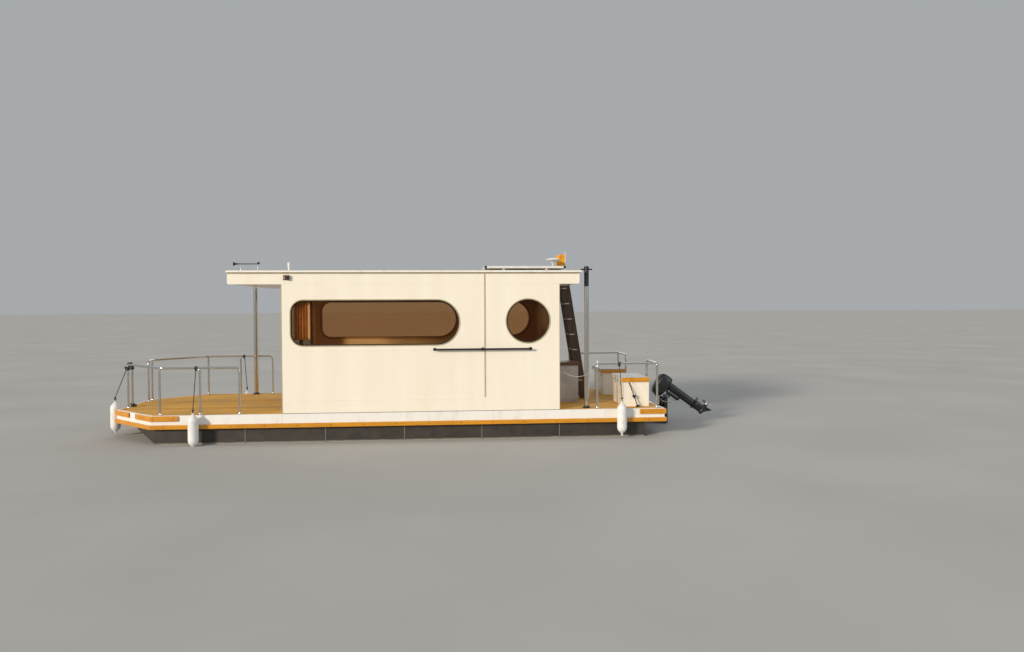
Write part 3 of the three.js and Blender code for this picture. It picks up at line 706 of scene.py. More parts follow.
def thicken(cloth, thickness):
    thick = cloth.modifiers.new("cloth thickness", "SOLIDIFY")
    thick.thickness = thickness
    thick.offset = 0


def object_of(name, made, place=Matrix()):
    """An object of the mesh, carried from the boat's places into the frame."""
    bmesh.ops.recalc_face_normals(made, faces=made.faces)
    mesh = bpy.data.meshes.new(name)
    made.to_mesh(mesh)
    made.free()
    mesh.transform(Matrix.Translation(STERN_AND_DECK) @ place)
    return add_to_scene(name, mesh)


def apply_modifiers(thing):
    graph = bpy.context.evaluated_depsgraph_get()
    thing.data = bpy.data.meshes.new_from_object(thing.evaluated_get(graph))
    thing.modifiers.clear()


def piece(name, made, finish, body="hull", edge=0.0, replaces=(), place=Matrix(), smooth=40):
    """Makes an object of the mesh, with its finish, on its body."""
    thing = object_of(name, made, place)
    thing.data.shade_smooth()
    if edge:
        round_edges(thing, edge)
    else:
        thing.data.set_sharp_from_angle(angle=math.radians(smooth))
    return settle(thing, finish, body, replaces)


def settle(thing, finish, body="hull", replaces=()):
    material, slot = FINISHES[finish]
    thing.data.materials.clear()
    thing.data.materials.append(material)
    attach(thing, body)
    if replaces:
        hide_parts(*replaces)
    return thing


def keep_node(name, finish, edge=0.0, limit=40):
    """A node whose shape is right gets its finish and rounded edges."""
    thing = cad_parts[name]
    thing.data.materials.clear()
    thing.data.materials.append(FINISHES[finish][0])
    if "custom_normal" in thing.data.attributes:
        thing.data.attributes.remove(thing.data.attributes["custom_normal"])
    weld = thing.modifiers.new("weld", "WELD")
    weld.merge_threshold = 0.00005
    if edge:
        thing.data.shade_smooth()
        round_edges(thing, edge, limit)
    else:
        thing.data.shade_flat()


# The rope across the side gate, along the route that the solid has
def gate_rope():
    radius = 0.005
    nose = radius * math.sqrt(0.5) + GAP
    height, sag = 0.652, 0.14
    start = Vector((1.077 + RAIL_RADIUS + nose, RAIL_Y, height))
    end = Vector((CABIN_REAR - nose, RAIL_Y, height))
    middle = (start + end) / 2 - 2 * sag * UP
    line = [hanging(start, middle, end, t) + STERN_AND_DECK for t in spread(0, 1, 27)]
    curve = bpy.data.curves.new("gate_rope_line", "CURVE")
    curve.dimensions = "3D"
    curve.bevel_depth = radius
    curve.bevel_resolution = 5
    curve.use_fill_caps = True
    spline = curve.splines.new("POLY")
    spline.points.add(len(line) - 1)
    for point, place in zip(spline.points, line):
        point.co = (*place, 1)
        point.radius = 1
    rope = settle(add_to_scene("gate_rope_lay", curve), "beige_rope", replaces=["gate_rope"])


gate_rope()


# Hull: floats, platform, rub rail and planks
def hull():
    for name, finish, edge in (
        ("float_port", "float_shell", 0.02), ("float_starboard", "float_shell", 0.02),
        ("platform", "band_paint", 0.004), ("deck", "deck_board", 0), ("rub_rail", "rail_wood", 0.006),
        *((f"rub_plank_{end}", "rail_wood", 0.006) for end in ("bow", "port", "starboard", "stern")),
    ):
        keep_node(name, finish, edge)


def float_seams():
    """Welded seams stand between the floats' sections."""
    low, high = reach("float_port")
    for side, sign in SIDES.items():
        made = bmesh.new()
        for x in (1.687, 2.921, 4.130, 5.344, 6.560):
            for face in (high.y, low.y):
                block(made, (x - 0.007, sign * face - 0.006, WATERLINE - 0.3),
                      (x + 0.007, sign * face + 0.006, high.z - 0.004))
        piece(f"float_seams_{side}", made, "weld_bead", edge=0.003)


def rail_plugs():
    """Wooden plugs over the screws in the rub rail and the planks."""
    made = bmesh.new()

    def plug(place, axis, radius=0.009):
        turned(made, [(radius, 0), (radius, 0.0012), (radius - 0.003, 0.0018)], place, axis, 14)

    rail_z, sunk = -0.175, 0.0004
    for sign in SIDES.values():
        for x in spread(0.25, 7.75, 16):
            plug((x, sign * (DECK_HALF + 0.03 - sunk), rail_z), (0, sign, 0))
        for x in (0.06, 0.36, 7.60, 7.9):
            for z in (-0.025, -0.065):
                plug((x, sign * (DECK_HALF + 0.025 - sunk), z), (0, sign, 0), 0.008)
    for y in spread(-1.3, 1.3, 6):
        plug((-0.03 + sunk, y, rail_z), AFT)
    piece("wood_plugs", made, "cabinet_board")


def boards(name, x0, x1, hole, radius=0.045):
    """Boards laid fore and aft, cut round for the pole that passes through them."""
    inset, bevel = RIM + 0.003, 0.0008
    slack = inset * (math.sqrt(2) - 1)
    side, tip, cheek = DECK_HALF - inset, DECK_LENGTH - inset, DECK_HALF - CHAMFER - slack
    made = bmesh.new()
    for i in range(20):
        a = BOARDS_FROM + i * BOARD_PITCH + BOARD_GROOVE / 2
        b = min(a + BOARD_PITCH - BOARD_GROOVE, side)
        a = max(a, -side)
        breaks = sorted({a, b} | {c for c in (-cheek, cheek) if a < c < b})
        outline = [(x0, b), (x0, a)] + [(min(x1, tip - max(abs(y) - cheek, 0)), y) for y in breaks]
        skin(made, [[(x, y, z) for x, y in outline] for z in (GAP, 0.0025)])
    thing = piece(name, made, "deck_board", edge=bevel)
    made = bmesh.new()
    turned(made, [(radius, -0.02), (radius, 0.02)], (*hole, 0))
    cutter = object_of("cutter", made)
    thing.modifiers.clear()
    cut = thing.modifiers.new("hole", "BOOLEAN")
    cut.object = cutter
    cut.solver = "EXACT"
    apply_modifiers(thing)
    bpy.data.objects.remove(cutter)
    round_edges(thing, bevel)


def decks():
    boards("fore_deck_boards", CABIN_FRONT + 0.004, DECK_LENGTH, SPUDS["starboard"])
    boards("aft_deck_boards", RIM + 0.003, CABIN_REAR - 0.004, SPUDS["port"])
    made = bmesh.new()
    partition = reach("partition_and_galley")[0].x
    clear = 0.002
    for x0, x1 in ((CABIN_REAR + WALL, partition), (partition + WALL, CABIN_FRONT - WALL)):
        block(made, (x0 + clear, -INNER_HALF + clear, GAP), (x1 - clear, INNER_HALF - clear, 0.003))
    piece("cabin_floor", made, "floor_sheet", edge=0.0008)


# Walls: trims, windows and doors
def long_window(inset):
    """The long window's outline: a half circle aft, two rounded corners forward."""
    low, high = reach("window_port")
    x0, x1 = low.x - GAP + inset, high.x + GAP - inset
    z0, z1 = low.z - GAP + inset, high.z + GAP - inset
    aft = (z1 - z0) / 2
    fore = WINDOW_CORNER - inset
    return (arc(x1 - fore, z0 + fore, fore, -90, 0) + arc(x1 - fore, z1 - fore, fore, 0, 90)
            + arc(x0 + aft, z0 + aft, aft, 90, 270, 28))


def porthole(inset):
    low, high = reach("porthole_port")
    middle = (low + high) / 2
    return arc(middle.x, middle.z, (high.z - low.z) / 2 + GAP - inset, 0, 357, 119)


def window_frames():
    """Outside an olive frame with a rolled face, inside it a black gasket, indoors a ply rim.
    Each section is pairs of inset and distance out from the wall's outer or inner face."""
    frame_section = [(-0.013, GAP), (-0.012, 0.004), (-0.007, 0.006), (0.000, 0.006),
                     (0.004, 0.004), (0.004, GAP)]
    seal_section = [(0.0006, 0.003), (0.006, 0.004), (0.018, -0.004), (0.022, -0.0125),
                    (0.0006, -0.0132)]
    rim_section = [(-0.020, -GAP), (-0.020, -0.008), (0.004, -0.010), (0.010, -0.004),
                   (0.010, 0.030), (0.001, 0.030), (0.001, -GAP)]
    for side, sign in SIDES.items():
        for name, outline in (("window", long_window), ("porthole", porthole)):
            keep_node(f"{name}_{side}", "bronze_acrylic")
            for kind, face, section, finish in (
                ("frame", CABIN_HALF, frame_section, "olive_coating"),
                ("gasket", CABIN_HALF, seal_section, "rubber_seal"),
                ("inner_rim", INNER_HALF, rim_section, "birch_ply"),
            ):
                made = bmesh.new()
                skin(made, [[(x, sign * (face + out), z) for x, z in outline(inset)]
                            for inset, out in section], closed=True)
                piece(f"{name}_{kind}_{side}", made, finish, smooth=50)


def walls():
    for side in SIDES:
        for name in ("fore", "aft"):
            keep_node(f"wall_{side}_{name}", "gel_coat", 0.002)
    for name in ("wall_front", "wall_rear", "roof"):
        keep_node(name, "gel_coat", 0.004, 60)
    keep_node("roof_cap", "band_paint", 0.004)


def strips(name, finish, edge, sign, places, proud=0.003):
    """Flat strips on a side wall, each between two places in x and two in z."""
    made = bmesh.new()
    for x0, x1, z0, z1 in places:
        block(made, (x0, sign * (CABIN_HALF + GAP), z0), (x1, sign * (CABIN_HALF + proud), z1))
    piece(name, made, finish, edge=edge)


# Foot of the olive strip under the roof's cap
OLIVE_LOW = 2.146


def wall_trims():
    seam_foot, skirt, wall_top = 0.218, 0.200, ROOF_LOW.z - 0.002
    for side, sign in SIDES.items():
        strips(f"panel_strips_{side}", "olive_coating", 0.0008, sign, [
            (SEAM - 0.011, SEAM + 0.012, seam_foot, OLIVE_LOW - 0.001),
            (CABIN_FRONT - 0.009, CABIN_FRONT + 0.0025, 0.004, wall_top),
            (CABIN_REAR - 0.0025, CABIN_REAR + 0.006, 0.004, wall_top)])
        strips(f"panel_beads_{side}", "gel_coat", 0.0006, sign, [
            (SEAM + 0.08, CABIN_FRONT - 0.12, skirt - 0.007, skirt), (3.89, 5.81, 0.962, 0.976)], 0.004)
        strips(f"wall_foot_seal_{side}", "rubber_seal", 0.0008, sign,
               [(CABIN_REAR, CABIN_FRONT, GAP, 0.006)], 0.004)


def roof_trims():
    """An olive strip under the cap sheet all round, and a bead on top of the sheet's edge. Both
    stop at the notch for the ladder."""
    notch = (-0.48, 0.12)
    fascia, bead = bmesh.new(), bmesh.new()
    z0, z1 = OLIVE_LOW, ROOF_HIGH.z - 0.001
    low, high = ROOF_TOP, CAP_HIGH.z + 0.006
    aft, fore, side = CAP_LOW.x + 0.002, CAP_HIGH.x - 0.002, CAP_HIGH.y - 0.002
    for sign in SIDES.values():
        block(fascia, (ROOF_LOW.x - 0.003, sign * (CABIN_HALF + GAP), z0),
              (ROOF_HIGH.x + 0.003, sign * (CABIN_HALF + 0.003), z1))
        block(bead, (aft, sign * (side - 0.014), low), (fore, sign * side, high))
    block(fascia, (ROOF_HIGH.x + GAP, -CABIN_HALF, z0), (ROOF_HIGH.x + 0.003, CABIN_HALF, z1))
    block(bead, (fore - 0.014, -side, low), (fore, side, high))
    for end, stop in zip((-1, 1), notch):
        block(fascia, (ROOF_LOW.x - 0.003, end * CABIN_HALF, z0), (ROOF_LOW.x - GAP, stop, z1))
        block(bead, (aft, end * (CABIN_HALF + 0.028), low), (aft + 0.014, stop, high))
    piece("fascia_strip", fascia, "olive_coating", edge=0.0008)
    piece("cap_bead", bead, "olive_coating", edge=0.001)


def handrails():
    rear, front, height = 2.127, 3.677, 0.971
    standoff, radius = 0.062, 0.015
    length = front - rear
    for side, sign in SIDES.items():
        made = bmesh.new()
        ends = [(0.006, 0), (0.012, 0.004), (radius, 0.012)]
        turned(made, ends + [(r, length - x) for r, x in reversed(ends)],
               (rear, sign * (CABIN_HALF + standoff), height), FORWARD, 28)
        for x in (rear + 0.025, (rear + front) / 2, front - 0.025):
            foot = Vector((x, sign * (CABIN_HALF + GAP), height))
            turned(made, [(0.026, 0), (0.026, 0.005), (0.023, 0.008), (0.014, 0.011), (0.011, 0.018),
                          (0.011, standoff - 0.004)], foot, (0, sign, 0), 28)
            screws(made, [foot + Vector((0, sign * 0.0072, lift)) for lift in (-0.018, 0.018)],
                   (0, sign, 0))
        piece(f"handrail_bar_{side}", made, "black_nylon", replaces=[f"handrail_{side}"])


def railing(name, route, posts, sign):
    """A bent tube with posts under it, each post on a screwed flange."""
    made = bmesh.new()

    def at(place, z):
        return Vector((place[0], sign * place[1], z))

    corners = [at(route[0], GAP), *(at(p, RAIL_HEIGHT) for p in route), at(route[-1], GAP)]
    tube(made, bent(corners, 0.075), RAIL_RADIUS, 24)
    for post in posts:
        tube(made, [at(post, GAP), at(post, RAIL_HEIGHT)], RAIL_RADIUS, 24)
        turned(made, [(0.0172, 0), (0.0205, 0.004), (0.0205, 0.012), (0.0172, 0.016)],
               at(post, RAIL_HEIGHT - 0.034), sides=24)
    for post in [route[0], route[-1], *posts]:
        turned(made, [(0.036, 0), (0.036, 0.005), (0.033, 0.008), (0.022, 0.010), (0.0185, 0.018),
                      (0.0174, 0.030)], at(post, GAP), sides=28)
        around = [a + 0.5 for a in (0, 2 * math.pi / 3, 4 * math.pi / 3)]
        screws(made, [at(post, 0.0085) + 0.028 * Vector((math.cos(a), math.sin(a), 0)) for a in around],
               UP)
    piece(f"{name}_tube", made, "polished_steel", replaces=[name])


def rails():
    fore_rails = {"port": (6.640, 7.230, 7.830), "starboard": (6.756, 7.350, 7.943)}
    for side, sign in SIDES.items():
        end, middle, shoulder = fore_rails[side]
        railing(f"rail_fore_{side}",
                [(RAIL_BOW, 0.35), (RAIL_BOW, 0.52), (shoulder, RAIL_Y), (end, RAIL_Y)],
                [(RAIL_BOW, 0.52), (shoulder, RAIL_Y), (middle, RAIL_Y)], sign)
        railing(f"rail_aft_{side}", [(1.077, RAIL_Y), (0.1, RAIL_Y), (0.1, 0.77)],
                [(0.1, RAIL_Y)], sign)
    ball = 0.016
    made = bmesh.new()
    turned(made, [(0.006, -0.006), *ball_profile(ball, range(30, 175, 15), ball)],
           (1.068, RAIL_Y, RAIL_HEIGHT + RAIL_RADIUS - 0.004), sides=24)
    piece("gate_post_ball", made, "white_moulding")


def ball_profile(radius, angles, centre=0):
    """A turned ball, from angles in degrees up from its foot."""
    return [(radius * math.sin(a), centre - radius * math.cos(a)) for a in map(math.radians, angles)]


def spud_poles():
    low, high = reach("spud_pole_port")
    foot, top, handle = low.z, high.z, (high.x - low.x) / 2
    pin = 2.223
    tube_radius, outer, inner = SPUD_RADIUS - 0.0004, SPUD_RADIUS - 0.0002, SPUD_RADIUS - 0.004
    bore = SPUD_RADIUS + 0.0016
    for (side, (x, y)), sleeve in zip(SPUDS.items(), (1.952, 2.030)):
        body = f"spud_pole_{side}"
        made = bmesh.new()
        turned(made, [(tube_radius, foot + 0.002), (tube_radius, top - 0.006), (inner, top - 0.006),
                      (inner, foot), (tube_radius - 0.001, foot)], (x, y, 0), sides=48, closed=True)
        piece(f"spud_tube_{side}", made, "polished_steel", body, replaces=[body])
        made = bmesh.new()
        turned(made, [(outer - 0.00005, sleeve), (outer, sleeve + 0.001), (outer, top - 0.012),
                      (outer, top - 0.004), (0.034, top), (0.012, top + 0.0005)], (x, y, 0), sides=48)
        piece(f"spud_sleeve_{side}", made, "black_nylon", body)
        made = bmesh.new()
        ends = [(0.004, 0), (0.009, 0.002), (0.011, 0.006)]
        turned(made, ends + [(r, 2 * handle - h) for r, h in reversed(ends)], (x - handle, y, pin),
               FORWARD, 20)
        for sign in (-1, 1):
            turned(made, [(0.016, 0), (0.016, 0.006), (0.013, 0.009)],
                   (x + sign * (SPUD_RADIUS + 0.0005), y, pin), (sign, 0, 0), 20)
        piece(f"spud_pin_{side}", made, "black_nylon", body)
        made = bmesh.new()
        turned(made, [(bore, 0.0005), (bore, 0.028), (bore + 0.003, 0.031), (bore + 0.010, 0.031),
                      (bore + 0.013, 0.028), (bore + 0.013, 0.010), (bore + 0.034, 0.007),
                      (bore + 0.034, 0.0005)], (x, y, 0), sides=48, closed=True)
        corner = 0.066 * math.sqrt(0.5)
        screws(made, [(x + a * corner, y + b * corner, 0.007) for a in (-1, 1) for b in (-1, 1)], UP,
               0.005, 0.003)
        piece(f"spud_collar_{side}", made, "black_enamel", smooth=35)


def ladder():
    keep_node("ladder", "stained_wood", 0.005)
    middle, half, plank = -0.18, 0.24, 0.014
    foot, head = 1.050, 1.414
    lowest, rise = 0.335, 0.270
    brackets, grips = bmesh.new(), bmesh.new()
    for step in range(7):
        z = lowest + rise * step
        x = foot + (head - foot) * z / CAP_HIGH.z
        for sign in (-1, 1):
            face, outside = (middle + sign * (half + plank + proud) for proud in (GAP, 0.0025))
            block(brackets, (x - 0.020, face, z - 0.014), (x + 0.058, outside, z))
            screws(brackets, [(x + d, outside, z - 0.007) for d in (-0.008, 0.046)], (0, sign, 0), 0.004)
        for d in (-0.052, 0.040):
            block(grips, (x + d, middle - half + 0.016, z + GAP),
                  (x + d + 0.012, middle + half - 0.016, z + 0.002))
    piece("tread_brackets", brackets, "silver_coating", edge=0.0006)
    piece("tread_grips", grips, "silver_coating", edge=0.0004)


def cabinet():
    keep_node("cabinet", "grey_melamine", 0.003)
    low, high = reach("cabinet")
    proud, face, foot, door_top = 0.0015, 0.575, 0.045, 0.615
    made = bmesh.new()
    block(made, (low.x - proud, low.y - proud, 0.629), (high.x, high.y + proud, high.z + proud))
    piece("cabinet_top", made, "cabinet_board", edge=0.005)
    x0, x1 = 1.238, CABIN_REAR - GAP
    half = (x0 + x1) / 2
    made = bmesh.new()
    for a, b in ((x0 + 0.012, half - 0.003), (half + 0.003, x1 - 0.008)):
        block(made, (a, face + GAP, foot), (b, face + 0.012, door_top))
    piece("cabinet_doors", made, "grey_melamine", edge=0.002)
    made = bmesh.new()
    block(made, (half - 0.0022, face + GAP, foot), (half + 0.0022, face + 0.006, door_top))
    for x in (half - 0.022, half + 0.022):
        grip(made, (x, face + 0.010, 0.36), (0, 0.018, 0), (0, 0, 0.10), 0.010, 0.004)
    piece("cabinet_handles", made, "silver_anodising")
    made = bmesh.new()
    block(made, (x0 + 0.01, 0.16, GAP), (x1, face - 0.004, 0.035))
    piece("cabinet_plinth", made, "black_nylon")


def lockers():
    """Two lockers with corner profiles and latches, under lids of wood with a sheet on top."""
    aft, fore, near, far, rear = 0.190, 0.605, 0.430, 1.250, 0.186
    thin, leg, foot, head = 0.0025, 0.028, 0.006, 0.398
    for side, sign in SIDES.items():
        keep_node(f"locker_{side}", "gel_coat", 0.003)
        keep_node(f"locker_lid_{side}", "rail_wood", 0.004)
        low, high = reach(f"locker_lid_{side}")
        front, top = high.x, high.z
        body = f"locker_lid_{side}"
        made = bmesh.new()
        cuts = spread(low.y + 0.006, high.y - 0.006, 4)
        for y0, y1 in zip(cuts, cuts[1:]):
            block(made, (rear + 0.006, y0 + 0.002, top + GAP), (front - 0.006, y1 - 0.002, top + 0.004))
        block(made, (front + GAP, low.y + 0.012, top - 0.058), (front + 0.003, high.y - 0.012, top - 0.004))
        piece(f"lid_sheet_{side}", made, "lid_sheet", body, edge=0.0015)
        made = bmesh.new()
        block(made, (rear + 0.008, low.y + 0.008, top + GAP / 2),
              (front - 0.008, high.y - 0.008, top + 0.0022))
        piece(f"lid_joint_{side}", made, "rubber_seal", body)
        made = bmesh.new()
        y0, y1 = sorted((near * sign, far * sign))
        for x, out in ((aft, -1), (fore, 1)):
            for y, way in ((y0, -1), (y1, 1)):
                block(made, (x, y - way * leg, foot), (x + out * thin, y + way * thin, head))
                block(made, (x - out * leg, y, foot), (x + out * thin, y + way * thin, head))
        piece(f"locker_corners_{side}", made, "white_moulding", edge=0.0008)
        made = bmesh.new()
        for y in (y0 + 0.22, y1 - 0.22):
            block(made, (fore + 0.0005, y - 0.018, 0.330), (fore + 0.006, y + 0.018, 0.392))
            grip(made, (fore + 0.005, y - 0.010, 0.345), (0.012, 0, 0), (0, 0.020, 0), 0.005, 0.003, 10)
        piece(f"locker_latches_{side}", made, "polished_steel", edge=0.0015)


# Doors
def front_door():
    keep_node("front_door_frame", "black_enamel", 0.003)
    keep_node("front_door_glass", "float_glass")
    keep_node("front_door_fixed_pane", "float_glass")
    low, high = reach("front_door_fixed_pane")
    made = bmesh.new()
    four_bars(made, (CABIN_FRONT - 0.022, CABIN_FRONT - 0.006), (low.y + GAP, high.y), (low.z, high.z),
              0.045)
    piece("fixed_pane_rim", made, "black_enamel", edge=0.002)
    made = bmesh.new()
    foot, head = 0.004, 1.965
    for y0, y1, z0, z1 in ((-1.045, -1.0, foot, head), (1.0, 1.045, foot, head),
                           (-1.0, 1.0, head - 0.045, head), (-1.0, 1.0, foot, 0.040)):
        block(made, (CABIN_FRONT + GAP, y0, z0), (CABIN_FRONT + 0.006, y1, z1))
    piece("front_door_casing", made, "silver_anodising", edge=0.0015)
    low, high = reach("front_door_frame")
    made = bmesh.new()
    for x, out in ((high.x - 0.002, 0.018), (low.x + 0.002, -0.028)):
        grip(made, (x, low.y + 0.03, 0.88), (out, 0, 0), (0, 0, 0.20), 0.012, 0.006, 16)
    piece("front_door_handles", made, "polished_steel", "front_door")


def rear_door():
    keep_node("rear_door", "gel_coat", 0.003)
    face, hinge_side, lever_side = CABIN_REAR + 0.002, -1.144, -0.456
    made = bmesh.new()
    for z in ((0.14, 0.86), (1.00, 1.80)):
        four_bars(made, (face - 0.006, face - GAP), (hinge_side + 0.11, lever_side - 0.11), z, 0.018)
    piece("rear_door_mouldings", made, "gel_coat", "rear_door", edge=0.003)
    made = bmesh.new()
    y, z = lever_side - 0.055, 0.99
    block(made, (face - 0.004, y - 0.022, 0.86), (face - GAP, y + 0.022, 1.06))
    turned(made, [(0.011, 0), (0.011, 0.030)], (face - 0.004, y, z), AFT, 20)
    tube(made, bent([(face - 0.034, y, z), (face - 0.040, y - 0.02, z), (face - 0.040, y - 0.115, z)],
                    0.015), 0.009, 16)
    turned(made, [(0.009, 0), (0.009, 0.004)], (face - 0.004, y, 0.90), AFT, 20)
    piece("rear_door_lever", made, "polished_steel", "rear_door", edge=0.0012)
    made = bmesh.new()
    foot, head = 0.004, 1.970
    for y0, y1, z0 in ((-1.190, -1.152, foot), (-0.448, -0.410, foot), (-1.152, -0.448, head - 0.038)):
        block(made, (CABIN_REAR - 0.005, y0, z0), (CABIN_REAR - GAP, y1, head))
    piece("rear_door_casing", made, "silver_anodising", edge=0.0015)


# On the roof
def solar_panel():
    low, high = reach("solar_panel")
    z0, z1, rail = 2.239, high.z, 0.03
    made = bmesh.new()
    for x0, x1, y0, y1 in ((low.x, high.x, low.y, low.y + rail), (low.x, high.x, high.y - rail, high.y),
                           (low.x, low.x + rail, low.y + rail, high.y - rail),
                           (high.x - rail, high.x, low.y + rail, high.y - rail)):
        block(made, (x0, y0, z0), (x1, y1, z1))
    for x in (1.872, 2.557):
        for y in (0.530, 1.300):
            flat_block(made, x, y, 0.02, ROOF_TOP, z0 + 0.001)
            flat_block(made, x, y, 0.03, ROOF_TOP, CAP_HIGH.z + 0.005)
    piece("panel_frame", made, "silver_coating", edge=0.0015, replaces=["solar_panel"])
    made = bmesh.new()
    lap = rail - 0.004
    block(made, (low.x + lap, low.y + lap, z1 - 0.010), (high.x - lap, high.y - lap, z1 - 0.003))
    piece("panel_glass", made, "solar_glass", edge=0.0006)
    made = bmesh.new()
    for x, out in ((low.x, -1), (high.x, 1)):
        for y in (low.y, high.y - rail):
            block(made, (x - out * 0.038, y - 0.001, z0 - 0.001), (x, y + rail + 0.001, z1 + 0.0005))
    piece("panel_corner_caps", made, "black_nylon", edge=0.002)
    made = bmesh.new()
    block(made, (2.15, 0.86, z0 - 0.022), (2.27, 0.97, z0 + 0.004))
    piece("panel_junction_box", made, "black_nylon", edge=0.003)


def antenna():
    x, y = (sum(reach("tv_antenna"), Vector()) / 2).xy
    stem = 0.196
    foot = [(0.045, 0), (0.045, 0.006), (0.040, 0.010), (0.018, 0.016), (0.0125, 0.030)]
    dome = [(0.012, -0.050), (0.018, -0.030), (0.034, -0.010), (0.062, 0.006), (0.100, 0.018),
            (0.122, 0.025), (0.1295, 0.030), (0.130, 0.034), (0.127, 0.040), (0.112, 0.050),
            (0.085, 0.058), (0.050, 0.063), (0.012, 0.065)]
    made = bmesh.new()
    turned(made, foot + [(r, stem + h) for r, h in dome], (x, y, ROOF_TOP), sides=48)
    piece("antenna_dome", made, "white_moulding", replaces=["tv_antenna"])
    made = bmesh.new()
    turned(made, [(0.1300, 0.0305), (0.1308, 0.0315), (0.1308, 0.033), (0.1300, 0.034),
                  (0.127, 0.033), (0.127, 0.0315)], (x, y, ROOF_TOP + stem), sides=48, closed=True)
    turned(made, [(0.009, 0), (0.010, 0.003), (0.010, 0.020), (0.007, 0.026)],
           (x - 0.012, y, CAP_HIGH.z + 0.06), AFT, 16)
    piece("antenna_joint", made, "black_nylon")


def flag():
    x, y = 1.393, 0.16
    low, high, length = 2.335, 2.568, 0.15
    tip = high - CAP_HIGH.z
    made = bmesh.new()
    turned(made, [(0.016, 0), (0.016, 0.004), (0.007, 0.008), (0.006, 0.020), (0.005, tip + 0.006),
                  (0.008, tip + 0.008), (0.008, tip + 0.012), (0.003, tip + 0.0135)],
           (x, y, ROOF_TOP), sides=20)
    piece("flag_staff", made, "white_moulding", replaces=["flag"])

    def flown(u, v):
        """u runs from the staff to the free edge and v up the flag."""
        sway = 0.0085 * u * math.sin(9.5 * u + 1.7 * v) + 0.003 * u * math.sin(15 * v + 4 * u)
        top = high - 0.020 - 0.030 * u
        return x + length * u * 0.995, y + sway, low + (top - low) * v

    made = bmesh.new()
    sheet_of(made, flown, spread(0, 1, 25), spread(0, 1, 30))
    cloth = piece("flag_sheet", made, "flag_cloth", smooth=180)
    thicken(cloth, 0.0012)


def horn():
    x, y, z = 6.360, 1.300, 2.310
    made = bmesh.new()
    turned(made, [(0.007, 0.012), (0.007, 0.262), (0.0082, 0.290), (0.0105, 0.318), (0.0145, 0.345),
                  (0.0225, 0.364), (0.0325, 0.376), (0.035, 0.3775), (0.035, 0.3785),
                  (0.0315, 0.3775), (0.021, 0.364), (0.012, 0.342), (0.008, 0.310)],
           (x, y, z), FORWARD, 32)
    turned(made, ball_profile(0.020, range(10, 175, 12)), (x, y, z + 0.012), sides=28)
    piece("horn_trumpet", made, "black_nylon", replaces=["horn"])
    made = bmesh.new()
    for place in (x + 0.012, x + 0.270):
        turned(made, [(0.018, 0), (0.018, 0.004), (0.015, 0.006), (0.007, 0.009), (0.006, 0.014),
                      (0.006, z - CAP_HIGH.z - 0.006)], (place, y, ROOF_TOP), sides=20)
    piece("horn_stands", made, "polished_steel")


def lights():
    """Side lights on the fascia by the cabin's front corners, and a white light on the roof."""
    x, z = 5.905, 2.092
    for (side, sign), lens in zip(SIDES.items(), ("red_lens", "green_lens")):
        wall, shelf, front = (sign * (CABIN_HALF + out) for out in (GAP, 0.0155, 0.0435))
        made = bmesh.new()
        block(made, (x - 0.050, wall, z - 0.036), (x + 0.006, front, z + 0.034))
        for foot in (z - 0.036, z + 0.028):
            block(made, (x + 0.006, wall, foot), (x + 0.050, shelf, foot + 0.006))
        piece(f"side_light_{side}", made, "black_nylon", edge=0.003)
        made = bmesh.new()
        corner_x, corner_y = x + 0.006, CABIN_HALF + 0.002
        outline = [(0, 0)] + [(0.040 * math.sin(a), 0.036 * math.cos(a))
                              for a in map(math.radians, range(0, 91, 9))]
        skin(made, [[(corner_x + fore, sign * (corner_y + out), level) for fore, out in outline]
                    for level in (z - 0.029, z + 0.027)])
        piece(f"side_light_lens_{side}", made, lens, smooth=50)
    place = (5.900, 1.300, ROOF_TOP)
    made = bmesh.new()
    turned(made, [(0.022, 0), (0.022, 0.006), (0.016, 0.010), (0.014, 0.060), (0.020, 0.066),
                  (0.022, 0.070)], place, sides=28)
    turned(made, [(0.023, 0.112), (0.024, 0.114), (0.022, 0.124), (0.014, 0.130), (0.004, 0.132)],
           place, sides=28)
    piece("roof_light_body", made, "white_moulding")
    made = bmesh.new()
    turned(made, [(0.019, 0.069), (0.021, 0.074), (0.021, 0.108), (0.019, 0.113)], place, sides=28)
    piece("roof_light_lens", made, "white_lens")


# Soft pieces
def rail_knot(made, centre, radius, axis, turns, rope, drift):
    """Turns of rope wound round a bar."""
    side = axis.orthogonal().normalized()
    ring = circle(Vector(centre), radius + rope, side, axis.cross(side), 22)
    steps = len(ring) * turns
    line = [ring[i % len(ring)] + axis * drift * (i / steps - 0.5) for i in range(steps + 1)]
    tube(made, line, rope, 10)


def overhand(made, centre, size, rope):
    """A small tight knot: a rope that passes through its own loop."""
    line = [Vector(centre) + size * Vector((
        (math.sin(t) + 2 * math.sin(2 * t)) / 3, -0.45 * math.sin(3 * t),
        (math.cos(t) - 2 * math.cos(2 * t)) / 3)) for t in full_turn(48)]
    tube(made, line, rope, 10, closed=True)


# Where each fender's rope is tied on the rail, and the way out from there
FENDERS = {
    "fender_port_aft": (0.716, RAIL_Y, PORT),
    "fender_port_fore": (7.283, RAIL_Y, PORT),
    "fender_bow": (RAIL_BOW, 0.473, FORWARD),
    "fender_starboard_aft": (0.716, -RAIL_Y, -PORT),
    "fender_starboard_fore": (7.283, -RAIL_Y, -PORT),
}


